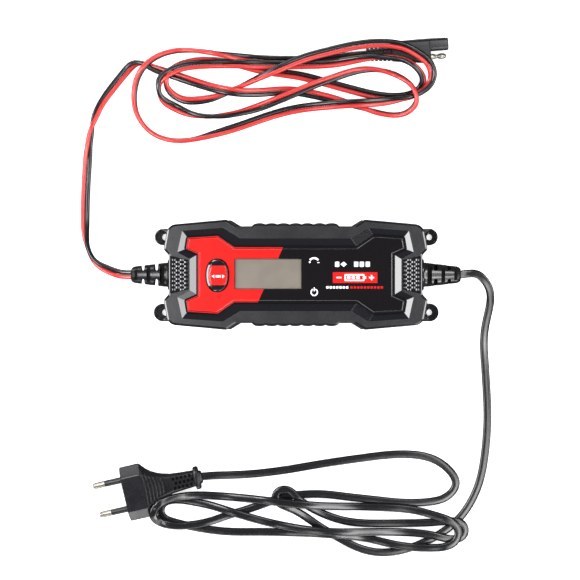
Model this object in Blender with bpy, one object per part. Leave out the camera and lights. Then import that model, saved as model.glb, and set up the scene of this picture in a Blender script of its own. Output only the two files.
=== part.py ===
"""Car battery charger: a sealed two-shell housing with its electronics, two moulded
leads, a two-pole DC connector and a two-pin mains plug.

Frame: metres, +Z up, +X along the housing towards the mains lead, +Y towards the
DC connector. The origin is on the base, at the middle of the housing.
"""
import math

import bmesh
import bpy
from mathutils import Vector

MM = 0.001
GAP = 0.3 * MM

# Heights of the housing, from the base up
FLOOR = 2.5 * MM
LOWER_RIM = 19.6 * MM
UPPER_RIM = 20.8 * MM
CEILING = 37.3 * MM
LABEL_SEAT = 39.3 * MM
SHOULDER = 41.0 * MM
TOP = 42.0 * MM
EDGE_INSET = 0.8 * MM

# Plan of the housing: corners of one quadrant as (x, y, corner radius) in mm
END_CORNERS = [(79.6, 12.2, 1.0), (82.9, 15.9, 1.6), (80.0, 31.4, 6.5)]
UPPER_CORNERS = END_CORNERS + [(43.3, 34.7, 2.0), (36.7, 30.4, 1.5)]
LOWER_CORNERS = END_CORNERS + [(41.6, 34.9, 1.5), (34.9, 30.8, 1.5)]
INNER_CORNERS = [(77.2, 11.8, 0.8), (80.3, 16.6, 1.2), (77.8, 28.3, 4.0),
                 (45.2, 31.4, 1.0), (38.8, 26.9, 1.0)]
LABEL_CORNERS = [(61.9, 12.6, 0.3), (69.4, 15.9, 0.3), (68.1, 23.8, 0.3),
                 (48.6, 25.0, 0.3), (38.3, 17.9, 0.3)]
LABEL_MARGIN, LABEL_CORNER_RADIUS = 0.4, 0.3
BEVEL_CORNERS = [(66.2, 9.9, 0.3), (73.9, 14.0, 0.3), (70.9, 27.5, 0.3),
                 (45.5, 29.3, 0.3), (34.8, 22.7, 0.3)]
GRIP_RIBS = 7
GRIP_HALF_LENGTH = 26.25 * MM
GRIP_VALLEY = 31.7 * MM
GRIP_RISE = 0.8 * MM
GRIP_STEP = (27.5 * MM, 30.5 * MM)
PAD_CORNERS = [(66.9, 9.2), (78.6, 12.0)]
END_PAD_FLOOR = 40.8 * MM

# Screw lugs and case screws
LUG_X, LUG_Y = 86.35 * MM, 24.4 * MM
LUG_RADIUS = 5.3 * MM
LUG_HEIGHT = 6.5 * MM
LUG_SEAT = 4.5 * MM
LUG_BORE = 2.1 * MM
LUG_COUNTERBORE = 4.1 * MM
SCREW_X, SCREW_Y = 66.0 * MM, 22.0 * MM
SCREW_SEAT = 14.3 * MM

# Window, display and push button
WINDOW = (-38.3 * MM, 4.0 * MM, -9.1 * MM, 10.1 * MM)
BUTTON_X, BUTTON_Y = -49.0 * MM, -0.4 * MM
BUTTON_HALF = (7.2 * MM, 10.3 * MM)
BUTTON_SQUARE = 2.25
BUTTON_SIDES = 28
DISPLAY_BOARD_Z = 30.0 * MM
MAIN_BOARD_Z = 7.0 * MM
BOARD_THICKNESS = 1.6 * MM
DISPLAY_SCREWS = [(-59.0, 13.5), (17.0, -13.5)]
BOARD_SCREWS = [(-52.0, -20.0), (52.0, 20.0)]
LED_PLACES = [(11.6, 9.0), (11.7, -11.0)]

# Cord glands, on the parting line
GLAND_Z = 20.0 * MM
GLAND_TIP = 105.0 * MM
NECK_RADIUS = 6.8 * MM

# Leads
LEAD_RADIUS = 1.6 * MM
LEAD_TURN = math.radians(28)
LEAD_STEP = 26 * MM

BLACK = (0.018, 0.018, 0.02)
MATERIALS = {
    "black_abs": (BLACK, 0.55, 0.0),
    "gloss_black": ((0.01, 0.01, 0.012), 0.12, 0.0),
    "label_print": ((0.62, 0.02, 0.02), 0.2, 0.0),
    "window": ((0.42, 0.40, 0.38), 0.1, 0.0),
    "display_glass": ((0.3, 0.32, 0.3), 0.15, 0.0),
    "white_diffuser": ((0.85, 0.85, 0.85), 0.5, 0.0),
    "red_button": ((0.65, 0.02, 0.02), 0.3, 0.0),
    "seal_rubber": ((0.03, 0.03, 0.03), 0.8, 0.0),
    "flexible_pvc": ((0.015, 0.015, 0.016), 0.5, 0.0),
    "red_pvc": ((0.65, 0.02, 0.02), 0.4, 0.0),
    "circuit_board": ((0.02, 0.16, 0.06), 0.5, 0.0),
    "ferrite": ((0.05, 0.05, 0.055), 0.7, 0.0),
    "winding_tape": ((0.75, 0.6, 0.08), 0.4, 0.0),
    "component_black": ((0.02, 0.02, 0.02), 0.45, 0.0),
    "component_blue": ((0.03, 0.07, 0.3), 0.35, 0.0),
    "fuse_glass": ((0.8, 0.82, 0.82), 0.1, 0.0),
    "led_lens": ((0.8, 0.1, 0.1), 0.2, 0.0),
    "aluminium": ((0.75, 0.75, 0.77), 0.35, 1.0),
    "steel": ((0.55, 0.55, 0.57), 0.35, 1.0),
    "nickel": ((0.78, 0.77, 0.74), 0.22, 1.0),
}


# ---------------------------------------------------------------- helpers

def material(name):
    """The named material, made the first time that it is asked for."""
    made = bpy.data.materials.get(name)
    if made:
        return made
    colour, roughness, metallic = MATERIALS[name]
    made = bpy.data.materials.new(name)
    made.use_nodes = True
    shader = made.node_tree.nodes["Principled BSDF"]
    shader.inputs["Base Color"].default_value = (*colour, 1.0)
    shader.inputs["Roughness"].default_value = roughness
    shader.inputs["Metallic"].default_value = metallic
    made.diffuse_color = (*colour, 1.0)
    return made


def solid(name, vertices, faces, finish, frame=None):
    """An object from vertices and faces, its faces turned outwards."""
    mesh = bpy.data.meshes.new(name)
    mesh.from_pydata([tuple(v) for v in vertices], [], faces)
    shape = bmesh.new()
    shape.from_mesh(mesh)
    bmesh.ops.recalc_face_normals(shape, faces=shape.faces)
    shape.to_mesh(mesh)
    shape.free()
    mesh.shade_smooth()
    mesh.set_sharp_from_angle(angle=math.radians(30))
    item = bpy.data.objects.new(name, mesh)
    item.parent = frame
    if finish:
        mesh.materials.append(material(finish))
    bpy.context.scene.collection.objects.link(item)
    return item


def frame_at(name, location, turn=0.0):
    """An empty that carries pieces, turned about Z by degrees."""
    empty = bpy.data.objects.new(name, None)
    empty.location = location
    empty.rotation_euler = (0, 0, math.radians(turn))
    bpy.context.scene.collection.objects.link(empty)
    return empty


def loft_faces(rings, first=0):
    """Faces of one closed body through equal rings, capped at both ends."""
    count = len(rings[0])
    faces = [tuple(range(first, first + count))]
    for level in range(len(rings) - 1):
        low = first + level * count
        for i in range(count):
            j = (i + 1) % count
            faces.append((low + i, low + j, low + count + j, low + count + i))
    last = first + (len(rings) - 1) * count
    faces.append(tuple(range(last, last + count)))
    return faces


def loft(name, rings, finish, frame=None):
    """A closed solid through rings of equal length."""
    vertices = [point for ring in rings for point in ring]
    return solid(name, vertices, loft_faces(rings), finish, frame)


def lofts(name, stacks, finish, frame=None):
    """Several separate closed bodies in one object, for a tool of many cuts."""
    vertices, faces = [], []
    for rings in stacks:
        faces += loft_faces(rings, len(vertices))
        vertices += [point for ring in rings for point in ring]
    return solid(name, vertices, faces, finish, frame)


def rounded(corners, steps=None):
    """A plan outline in metres through (x, y, radius) corners given in mm."""
    outline = []
    for i, (x, y, radius) in enumerate(corners):
        here = Vector((x, y))
        back = (Vector(corners[i - 1][:2]) - here).normalized()
        ahead = (Vector(corners[(i + 1) % len(corners)][:2]) - here).normalized()
        half = back.angle(ahead) / 2
        centre = here + (back + ahead).normalized() * radius / math.sin(half)
        start = here + back * radius / math.tan(half) - centre
        end = here + ahead * radius / math.tan(half) - centre
        begin = math.atan2(start.y, start.x)
        sweep = math.remainder(math.atan2(end.y, end.x) - begin, math.tau)
        parts = steps or (4 if radius > 3 else 2)
        for k in range(parts + 1):
            angle = begin + sweep * k / parts
            spot = centre + radius * Vector((math.cos(angle), math.sin(angle)))
            outline.append(spot * MM)
    return outline


def four_fold(quadrant):
    """All corners of a plan that mirrors one quadrant across X and Y."""
    upper_left = [(-x, y, r) for x, y, r in reversed(quadrant)]
    lower_left = [(-x, -y, r) for x, y, r in quadrant]
    lower_right = [(x, -y, r) for x, y, r in reversed(quadrant)]
    return quadrant + upper_left + lower_left + lower_right


def with_grips(outline):
    """The upper plan with scalloped finger ribs along both long sides."""
    half = len(outline) // 2
    ribs = []
    steps = 3
    pitch = 2 * GRIP_HALF_LENGTH / GRIP_RIBS
    for k in range(GRIP_RIBS * steps + 1):
        x = GRIP_HALF_LENGTH - k * pitch / steps
        phase = (k % steps) / steps
        y = GRIP_VALLEY + GRIP_RISE * math.sin(math.pi * phase)
        ribs.append(Vector((x, y)))
    step_x, step_y = GRIP_STEP
    ribs = [Vector((step_x, step_y))] + ribs + [Vector((-step_x, step_y))]
    quarter = half // 2
    far_ribs = [-point for point in ribs]
    return (outline[:quarter] + ribs + outline[quarter:half + quarter]
            + far_ribs + outline[half + quarter:])


def inset(outline, distance):
    """The outline moved inwards, corner for corner."""
    moved = []
    for i, here in enumerate(outline):
        back = (here - outline[i - 1]).normalized()
        ahead = (outline[(i + 1) % len(outline)] - here).normalized()
        left = Vector((-back.y, back.x))
        right = Vector((-ahead.y, ahead.x))
        moved.append(here + (left + right) * distance / (1 + left.dot(right)))
    return moved


def level(outline, height):
    """A plan outline as a ring at one height."""
    return [(point[0], point[1], height) for point in outline]


def circle(radius, sides=16, centre=(0.0, 0.0)):
    """A round outline."""
    angles = [math.tau * k / sides for k in range(sides)]
    return [(centre[0] + radius * math.cos(a), centre[1] + radius * math.sin(a))
            for a in angles]


def rectangle(x0, x1, y0, y1):
    return [(x0, y0), (x1, y0), (x1, y1), (x0, y1)]


def squarish(half_width, half_height, square, sides=20):
    """An oval outline; square is 2 for an ellipse and more for a squarer shape."""
    return [(half_width * math.copysign(abs(x) ** (2 / square), x),
             half_height * math.copysign(abs(y) ** (2 / square), y))
            for x, y in circle(1.0, sides)]


def post(radius, low, high, centre, sides=16):
    """Rings of an upright round post."""
    outline = circle(radius, sides, centre)
    return [level(outline, low), level(outline, high)]


def block(x0, x1, y0, y1, z0, z1):
    """Rings of a plain block, for cutters and for parts that are sawn square."""
    outline = rectangle(x0, x1, y0, y1)
    return [level(outline, z0), level(outline, z1)]


def chamfered(x0, x1, y0, y1, z0, z1, edge):
    """Rings of a block whose top and bottom edges are chamfered."""
    small = rectangle(x0 + edge, x1 - edge, y0 + edge, y1 - edge)
    full = rectangle(x0, x1, y0, y1)
    return [level(small, z0), level(full, z0 + edge), level(full, z1 - edge), level(small, z1)]


def turned(profile, sides=16, centre=(0.0, 0.0)):
    """Rings of a part turned about a vertical axis, from (radius, height) pairs."""
    return [level(circle(radius, sides, centre), height) for radius, height in profile]


def turned_along_x(profile, sides=16, centre=(0.0, 0.0)):
    """Rings of a part turned about an axis along X, from (radius, x) pairs."""
    return [[(x, y, z) for y, z in circle(radius, sides, centre)] for radius, x in profile]


def boolean(target, tool, operation):
    """Cut or join a hidden tool shape on a target."""
    tool.display_type = "WIRE"
    tool.hide_render = True
    change = target.modifiers.new(tool.name, "BOOLEAN")
    change.operation = operation
    change.solver = "EXACT"
    change.object = tool


def cut(target, stacks, name):
    boolean(target, lofts(name, stacks, None, target.parent), "DIFFERENCE")


def join(target, stacks, name):
    boolean(target, lofts(name, stacks, None, target.parent), "UNION")


def signs():
    """The four quadrants' signs."""
    return [(sx, sy) for sx in (1, -1) for sy in (1, -1)]


def in_mm(places):
    return [tuple(c * MM for c in place) for place in places]


# ---------------------------------------------------------------- housing

def gland_holes():
    """Round holes for the gland necks, half in each cover."""
    radius = NECK_RADIUS + GAP
    start, end = 74 * MM, 84 * MM
    stacks = []
    for side in (1, -1):
        stacks.append([[(side * x, y, GLAND_Z + z) for y, z in circle(radius, 20)]
                       for x in (start, end)])
    return stacks


def lug_plan(sx, sy):
    """Outline of one screw lug: a stem with a round end."""
    outline = []
    for k in range(9):
        angle = math.radians(-90 + 22.5 * k)
        outline.append((sx * (LUG_X + LUG_RADIUS * math.cos(angle)),
                        sy * LUG_Y + LUG_RADIUS * math.sin(angle)))
    root = 76 * MM
    outline.append((sx * root, sy * LUG_Y + LUG_RADIUS))
    outline.append((sx * root, sy * LUG_Y - LUG_RADIUS))
    return outline


def bottom_cover():
    """Lower shell with lugs, screw pillars and board posts."""
    outline = rounded(four_fold(LOWER_CORNERS))
    cover = loft("bottom_cover", [level(inset(outline, 1.4 * MM), 0.0),
                                  level(inset(outline, 0.4 * MM), 1.4 * MM),
                                  level(outline, LOWER_RIM)], "black_abs")
    inner = rounded(four_fold(INNER_CORNERS))
    cut(cover, [[level(inner, FLOOR), level(inner, LOWER_RIM + 5 * MM)]], "lower_cavity")
    lugs = []
    for sx, sy in signs():
        plan = lug_plan(sx, sy)
        lugs.append([level(plan, 0.0), level(plan, LUG_HEIGHT)])
    join(cover, lugs, "lug_blocks")
    pillars = [post(4.6 * MM, 1 * MM, LOWER_RIM, (sx * SCREW_X, sy * SCREW_Y))
               for sx, sy in signs()]
    posts = [post(2.6 * MM, 1 * MM, MAIN_BOARD_Z - GAP, (sx * 52 * MM, sy * 20 * MM), 12)
             for sx, sy in signs()]
    join(cover, pillars + posts, "pillars")
    holes = gland_holes()
    for sx, sy in signs():
        lug = (sx * LUG_X, sy * LUG_Y)
        screw = (sx * SCREW_X, sy * SCREW_Y)
        holes.append(turned([(LUG_BORE, -1 * MM), (LUG_BORE, LUG_SEAT),
                             (LUG_COUNTERBORE, LUG_SEAT), (LUG_COUNTERBORE, 8 * MM)], 16, lug))
        holes.append(turned([(3.4 * MM, -1 * MM), (3.4 * MM, SCREW_SEAT),
                             (1.8 * MM, SCREW_SEAT), (1.8 * MM, 21 * MM)], 12, screw))
    for place in in_mm(BOARD_SCREWS):
        holes.append(post(1.2 * MM, 3 * MM, 8 * MM, place, 12))
    cut(cover, holes, "lower_holes")
    return cover


def button_plan(grow):
    """The button's oval outline about its own middle."""
    half_width, half_length = BUTTON_HALF
    return squarish(half_width + grow, half_length + grow, BUTTON_SQUARE, BUTTON_SIDES)


def button_hole(grow, low, high):
    """Opening for the push button."""
    plan = [(BUTTON_X + x, BUTTON_Y + y) for x, y in button_plan(grow)]
    return [level(plan, low), level(plan, high)]


def window_hole(low, high):
    x0, x1, y0, y1 = WINDOW
    return block(x0, x1, y0, y1, low, high)


def top_cover():
    """Upper shell with grips, a bevelled recess, openings and screw bosses."""
    outline = with_grips(rounded(four_fold(UPPER_CORNERS)))
    cover = loft("top_cover", [level(outline, UPPER_RIM),
                               level(inset(outline, 0.3 * MM), SHOULDER),
                               level(inset(outline, 0.3 * MM + EDGE_INSET), TOP)], "black_abs")
    seat = rounded(four_fold(LABEL_CORNERS), 1)
    edge = rounded(four_fold(BEVEL_CORNERS), 1)
    cut(cover, [[level(seat, LABEL_SEAT), level(edge, TOP), level(edge, TOP + 3 * MM)]],
        "label_recess")
    pads = []
    for side in (1, -1):
        near, far = [Vector((side * x * MM, y * MM)) for x, y in PAD_CORNERS]
        plan = [near, far, Vector((far.x, -far.y)), Vector((near.x, -near.y))]
        pads.append([level(plan, END_PAD_FLOOR), level(plan, TOP + 1 * MM)])
    cut(cover, pads, "end_pads")
    inner = rounded(four_fold(INNER_CORNERS))
    cut(cover, [[level(inner, UPPER_RIM - 5 * MM), level(inner, CEILING)]], "upper_cavity")
    bosses = [post(3.6 * MM, UPPER_RIM, CEILING + 1 * MM, (sx * SCREW_X, sy * SCREW_Y))
              for sx, sy in signs()]
    board_top = DISPLAY_BOARD_Z + BOARD_THICKNESS
    bosses += [post(2.4 * MM, board_top + GAP, CEILING + 1 * MM, place, 12)
               for place in in_mm(DISPLAY_SCREWS)]
    join(cover, bosses, "bosses")
    holes = gland_holes()
    holes.append(button_hole(GAP, CEILING - 1 * MM, TOP + 1 * MM))
    holes.append(window_hole(CEILING - 1 * MM, TOP + 1 * MM))
    holes += [post(2.0 * MM, CEILING - 1 * MM, TOP, place, 12) for place in in_mm(LED_PLACES)]
    holes += [post(1.75 * MM, UPPER_RIM - 1 * MM, 31 * MM, (sx * SCREW_X, sy * SCREW_Y), 12)
              for sx, sy in signs()]
    holes += [post(1.2 * MM, board_top, 36.5 * MM, place, 12)
              for place in in_mm(DISPLAY_SCREWS)]
    cut(cover, holes, "upper_holes")
    return cover


def cover_gaskets():
    """Flat seal between the rims, in a front and a rear half."""
    outer = inset(rounded(four_fold(LOWER_CORNERS)), 0.6 * MM)
    inner = rounded(four_fold(INNER_CORNERS))
    low, high = LOWER_RIM + GAP, UPPER_RIM - GAP
    stop = NECK_RADIUS + 2 * GAP
    for name, side in (("front_gasket", 1), ("rear_gasket", -1)):
        seal = loft(name, [level(outer, low), level(outer, high)], "seal_rubber")
        cut(seal, [[level(inner, low - 1 * MM), level(inner, high + 1 * MM)]], name + "_bore")
        cut(seal, [block(-0.1, 0.1, -side * stop, side * 0.1, low - 2 * MM, high + 2 * MM)],
            name + "_end")


def case_screws():
    """Four screws, put in from below."""
    for i, (sx, sy) in enumerate(signs()):
        place = (sx * SCREW_X, sy * SCREW_Y)
        profile = [(2.4, 11.7), (2.9, 12.2), (2.9, 14.0), (1.45, 14.0), (1.45, 29.0), (0.5, 30.2)]
        loft(f"case_screw_{i + 1}", turned(in_mm(profile), 12, place), "steel")


def small_screws():
    """Two screws of the display board from below, two of the main board from above."""
    low = DISPLAY_BOARD_Z - GAP
    for i, place in enumerate(in_mm(DISPLAY_SCREWS)):
        profile = [(1.5 * MM, low - 1.5 * MM), (2.0 * MM, low - 1.0 * MM), (2.0 * MM, low),
                   (0.9 * MM, low), (0.9 * MM, low + 6 * MM)]
        loft(f"display_screw_{i + 1}", turned(profile, 12, place), "steel")
    high = MAIN_BOARD_Z + BOARD_THICKNESS + GAP
    for i, place in enumerate(in_mm(BOARD_SCREWS)):
        profile = [(0.9 * MM, high - 5 * MM), (0.9 * MM, high), (2.0 * MM, high),
                   (2.0 * MM, high + 1.0 * MM), (1.5 * MM, high + 1.5 * MM)]
        loft(f"board_screw_{i + 1}", turned(profile, 12, place), "steel")


# ---------------------------------------------------------------- face of the charger

def label_panel():
    """Thin printed panel in the recess."""
    sharp = [Vector(corner[:2]) for corner in four_fold(LABEL_CORNERS)]
    corners = [(point.x, point.y, LABEL_CORNER_RADIUS) for point in inset(sharp, LABEL_MARGIN)]
    outline = rounded(corners, 1)
    low, high = LABEL_SEAT + GAP, LABEL_SEAT + GAP + 0.5 * MM
    panel = loft("label_panel", [level(outline, low), level(outline, high)], "label_print")
    cut(panel, [window_hole(low - 1 * MM, high + 1 * MM),
                button_hole(GAP, low - 1 * MM, high + 1 * MM)], "label_openings")


def lcd_stack():
    """Window, display glass and its backlight, from the top down."""
    x0, x1, y0, y1 = WINDOW
    pane = chamfered(x0 + GAP, x1 - GAP, y0 + GAP, y1 - GAP, CEILING, 39.1 * MM, 0.2 * MM)
    loft("lcd_window", pane, "window")
    glass = chamfered(-39.6 * MM, 5.3 * MM, -11.5 * MM, 12.5 * MM, 34.4 * MM, 37.0 * MM, 0.2 * MM)
    loft("lcd_module", glass, "display_glass")
    light = chamfered(-39.6 * MM, 5.3 * MM, -11.5 * MM, 12.5 * MM, 31.9 * MM, 34.1 * MM, 0.2 * MM)
    loft("lcd_backlight", light, "white_diffuser")


def mode_button():
    """Push cap with a red face, and the switch plunger that it presses."""
    frame = frame_at("mode_button", (BUTTON_X, BUTTON_Y, 0))
    stem, crown, flange = button_plan(-GAP), button_plan(-3 * GAP), button_plan(1.2 * MM)
    cap = loft("mode_button_cap", [level(flange, 35.6 * MM), level(flange, 36.7 * MM),
                                   level(stem, 36.7 * MM), level(stem, 40.6 * MM),
                                   level(crown, 41.2 * MM)], "gloss_black", frame)
    pocket = rectangle(-5.85 * MM, 5.85 * MM, -6.35 * MM, 6.35 * MM)
    cut(cap, [[level(pocket, 40.1 * MM), level(pocket, 43 * MM)]], "inlay_pocket")
    inlay = chamfered(-5.55 * MM, 5.55 * MM, -6.05 * MM, 6.05 * MM, 40.4 * MM, 41.5 * MM, 0.3 * MM)
    loft("mode_button_inlay", inlay, "red_button", frame)
    loft("switch_plunger", turned(in_mm([(1.7, 33.2), (1.7, 35.0), (1.5, 35.3)]), 16),
         "component_black", frame)


def display_board():
    """Board behind the display, with the switch body and two indicator LEDs."""
    low, high = DISPLAY_BOARD_Z, DISPLAY_BOARD_Z + BOARD_THICKNESS
    board = loft("display_pcb", block(-62 * MM, 20 * MM, -17 * MM, 17 * MM, low, high),
                 "circuit_board")
    cut(board, [post(1.2 * MM, low - 1 * MM, high + 1 * MM, place, 12)
                for place in in_mm(DISPLAY_SCREWS)], "display_pcb_holes")
    reach = 3.1 * MM
    body = loft("switch_body", chamfered(BUTTON_X - reach, BUTTON_X + reach, BUTTON_Y - reach,
                                         BUTTON_Y + reach, high + GAP, 34.2 * MM, 0.3 * MM),
                "component_black")
    cut(body, [post(2.0 * MM, 32.5 * MM, 36 * MM, (BUTTON_X, BUTTON_Y), 16)], "switch_bore")
    for i, place in enumerate(in_mm(LED_PLACES)):
        profile = in_mm([(1.7, 31.9), (1.7, 32.7), (1.5, 32.7), (1.5, 35.2), (1.1, 36.2), (0.4, 36.7)])
        loft(f"led_{i + 1}", turned(profile, 12, place), "led_lens")


# ---------------------------------------------------------------- power electronics

BOARD_TOP = MAIN_BOARD_Z + BOARD_THICKNESS + GAP


def main_board():
    low, high = MAIN_BOARD_Z, MAIN_BOARD_Z + BOARD_THICKNESS
    board = loft("main_pcb", block(-59 * MM, 59 * MM, -25 * MM, 25 * MM, low, high),
                 "circuit_board")
    cut(board, [post(1.2 * MM, low - 1 * MM, high + 1 * MM, place, 12)
                for place in in_mm(BOARD_SCREWS)], "main_pcb_holes")
    loft("board_header", chamfered(-14.5 * MM, -2 * MM, -20.3 * MM, -17.7 * MM, BOARD_TOP,
                                   DISPLAY_BOARD_Z - GAP, 0.3 * MM), "component_black")


def transformer():
    """Ferrite core with two windows, and the winding on its middle leg."""
    middle = BOARD_TOP + 10 * MM
    core = loft("transformer_core", chamfered(-16 * MM, 12 * MM, -4.5 * MM, 4.5 * MM, BOARD_TOP,
                                              BOARD_TOP + 20 * MM - GAP, 0.4 * MM), "ferrite")
    windows = [block(-11 * MM, -6 * MM, -9 * MM, 9 * MM, middle - 6 * MM, middle + 6 * MM),
               block(2 * MM, 7 * MM, -9 * MM, 9 * MM, middle - 6 * MM, middle + 6 * MM)]
    cut(core, windows, "core_windows")
    plan = rounded([(8.7, -10, 2), (8.7, 10, 2), (-8.7, 10, 2), (-8.7, -10, 2)], 3)
    coil_plan = [point + Vector((-2 * MM, 0)) for point in plan]
    coil = loft("transformer_winding", [level(coil_plan, middle - 5.7 * MM),
                                        level(coil_plan, middle + 5.7 * MM)], "winding_tape")
    cut(coil, [block(-6.3 * MM, 2.3 * MM, -4.8 * MM, 4.8 * MM, middle - 8 * MM, middle + 8 * MM)],
        "winding_bore")


def choke():
    """Toroid of the common mode filter, lying on the board."""
    ring, tube, sides, around = 7.0 * MM, 2.9 * MM, 16, 8
    vertices, faces = [], []
    for i in range(sides):
        turn = math.tau * i / sides
        for j in range(around):
            bend = math.tau * j / around
            radius = ring + tube * math.cos(bend)
            vertices.append((26 * MM + radius * math.cos(turn), -12 * MM + radius * math.sin(turn),
                             BOARD_TOP + tube + tube * math.sin(bend)))
            ahead = (i + 1) % sides
            beside = (j + 1) % around
            faces.append((i * around + j, ahead * around + j,
                          ahead * around + beside, i * around + beside))
    solid("common_mode_choke", vertices, faces, "ferrite")


def capacitor(name, radius, height, place):
    """Electrolytic can with a rolled groove near its base."""
    base = BOARD_TOP
    profile = [(radius, base), (radius, base + 1.8 * MM), (radius - 0.5 * MM, base + 2.3 * MM),
               (radius, base + 2.8 * MM), (radius, base + height - 0.6 * MM),
               (radius - 0.6 * MM, base + height)]
    loft(name, turned(profile, 16, place), "component_blue")


def heatsink():
    """Comb of fins along one side of the board, with the power transistor in front."""
    x0, x1, back, front, root = -47 * MM, -9 * MM, 24 * MM, 17.5 * MM, 20 * MM
    fins = 6
    pitch = (x1 - x0) / (2 * fins - 1)
    plan = [(x1, front), (x0, front)]
    for k in range(fins):
        left = x0 + 2 * k * pitch
        plan += [(left, back), (left + pitch, back)]
        if k < fins - 1:
            plan += [(left + pitch, root), (left + 2 * pitch, root)]
    loft("heatsink", [level(plan, BOARD_TOP), level(plan, BOARD_TOP + 18 * MM)], "aluminium")
    profile = in_mm([(17.2, 8.9), (17.2, 24.6), (15.9, 24.6), (15.9, 18.2), (12.8, 18.0),
                     (12.8, 9.1), (13.0, 8.9)])
    rings = [[(x, y, z) for y, z in profile] for x in (-33 * MM, -23 * MM)]
    loft("power_transistor", rings, "component_black")


def line_parts():
    """Fuse and suppression capacitor at the mains end."""
    fuse = in_mm([(2.4, 37.0), (2.6, 37.3), (2.6, 42.5), (2.3, 42.5), (2.3, 51.5), (2.6, 51.5),
                  (2.6, 56.7), (2.4, 57.0)])
    loft("fuse", turned_along_x(fuse, 16, (10 * MM, BOARD_TOP + 2.7 * MM)), "fuse_glass")
    loft("x_capacitor", chamfered(38 * MM, 56 * MM, -16.2 * MM, -7.8 * MM, BOARD_TOP,
                                  BOARD_TOP + 14 * MM, 0.6 * MM), "winding_tape")


def internal_tails():
    """Four short wires from the glands down to the main board."""
    names = (("ac_tail_live", 1, 1.6), ("ac_tail_neutral", 1, -1.6),
             ("dc_tail_positive", -1, 1.6), ("dc_tail_negative", -1, -1.6))
    finishes = ("component_blue", "component_black", "red_pvc", "component_black")
    for (name, side, y), finish in zip(names, finishes):
        spread = 1.8 * y
        route = [(side * 74.2, y, 20.0), (side * 71.5, y, 19.6), (side * 66.5, y * 1.4, 16.8),
                 (side * 60.5, spread, 13.0), (side * 57.8, spread, 11.0), (side * 57.2, spread, 9.2)]
        tube(name, in_mm(route), 0.9 * MM, finish)


# ---------------------------------------------------------------- cords

def smooth_curve(route, steps=24):
    """Points along a natural cubic spline through a route, never below the table."""
    points = [Vector(place) for place in route]
    spans = [(b - a).length for a, b in zip(points, points[1:])]
    count = len(points)
    lower, diagonal, right = [0.0] * count, [1.0] * count, [Vector((0, 0, 0))] * count
    upper = [0.0] * count
    for i in range(1, count - 1):
        before, after = spans[i - 1], spans[i]
        lower[i], diagonal[i], upper[i] = before, 2 * (before + after), after
        rise = (points[i + 1] - points[i]) / after - (points[i] - points[i - 1]) / before
        right[i] = 6 * rise
    for i in range(1, count):
        share = lower[i] / diagonal[i - 1]
        diagonal[i] -= share * upper[i - 1]
        right[i] = right[i] - share * right[i - 1]
    bend = [Vector((0, 0, 0))] * count
    for i in reversed(range(count)):
        ahead = bend[i + 1] if i + 1 < count else Vector((0, 0, 0))
        bend[i] = (right[i] - upper[i] * ahead) / diagonal[i]
    curve = []
    for i, span in enumerate(spans):
        for k in range(steps):
            t = k / steps
            s = 1 - t
            sag = ((s ** 3 - s) * bend[i] + (t ** 3 - t) * bend[i + 1]) * span * span / 6
            curve.append(s * points[i] + t * points[i + 1] + sag)
    curve.append(points[-1])
    for point in curve:
        point.z = max(point.z, LEAD_RADIUS)
    return curve


def thinned(curve):
    """The curve's points where it has turned or run far enough since the last one."""
    kept = [curve[0]]
    turned_by = run = 0.0
    for before, here, after in zip(curve, curve[1:], curve[2:]):
        turned_by += (here - before).angle(after - here, 0.0)
        run += (here - before).length
        if turned_by > LEAD_TURN or run > LEAD_STEP:
            kept.append(here)
            turned_by = run = 0.0
    if (kept[-1] - curve[-1]).length < 3 * LEAD_RADIUS:
        kept.pop()
    return kept + [curve[-1]]


def tube(name, points, radius, finish):
    """A round cord along given points, with closed ends."""
    data = bpy.data.curves.new(name, "CURVE")
    data.dimensions = "3D"
    data.bevel_depth = radius
    data.bevel_resolution = 2
    data.render_resolution_u = 0
    data.use_fill_caps = True
    spline = data.splines.new("POLY")
    spline.points.add(len(points) - 1)
    for spot, point in zip(spline.points, points):
        spot.co = (*point, 1.0)
    data.materials.append(material(finish))
    item = bpy.data.objects.new(name, data)
    bpy.context.scene.collection.objects.link(item)
    return item


def lead(name, route, finish):
    tube(name, thinned(smooth_curve(in_mm(route))), LEAD_RADIUS, finish)


def gland(name, side):
    """Cord gland: it grips the wall between two flanges, and its nose is slotted to bend."""
    frame = frame_at(name + "_frame", (0, 0, GLAND_Z), 0 if side > 0 else 180)
    profile = in_mm([(8.6, 74.6), (8.6, 76.9), (NECK_RADIUS / MM, 76.9), (NECK_RADIUS / MM, 79.9),
                     (9.9, 79.9), (9.9, 81.2), (8.2, 82.2), (7.4, 82.6), (7.2, 84.0),
                     (5.8, GLAND_TIP / MM - 0.8), (4.9, GLAND_TIP / MM)])
    nose = loft(name, turned_along_x(profile, 20), "flexible_pvc", frame)
    stacks = []
    for x in (88.6 * MM, 97.1 * MM):
        for face in (1, -1):
            stacks.append(block(x - 1.1 * MM, x + 1.1 * MM, face * 3.4 * MM, face * 12 * MM,
                                -12 * MM, 12 * MM))
    for x in (84.8 * MM, 93.2 * MM, 101.6 * MM):
        for face in (1, -1):
            stacks.append(block(x - 0.8 * MM, x + 0.8 * MM, -12 * MM, 12 * MM,
                                face * 3.9 * MM, face * 12 * MM))
    cut(nose, stacks, name + "_slots")


def oval(half_width, half_height, along, square):
    """A squarish oval ring across an axis along X."""
    return [(along, y, z) for y, z in squarish(half_width, half_height, square)]


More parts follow.
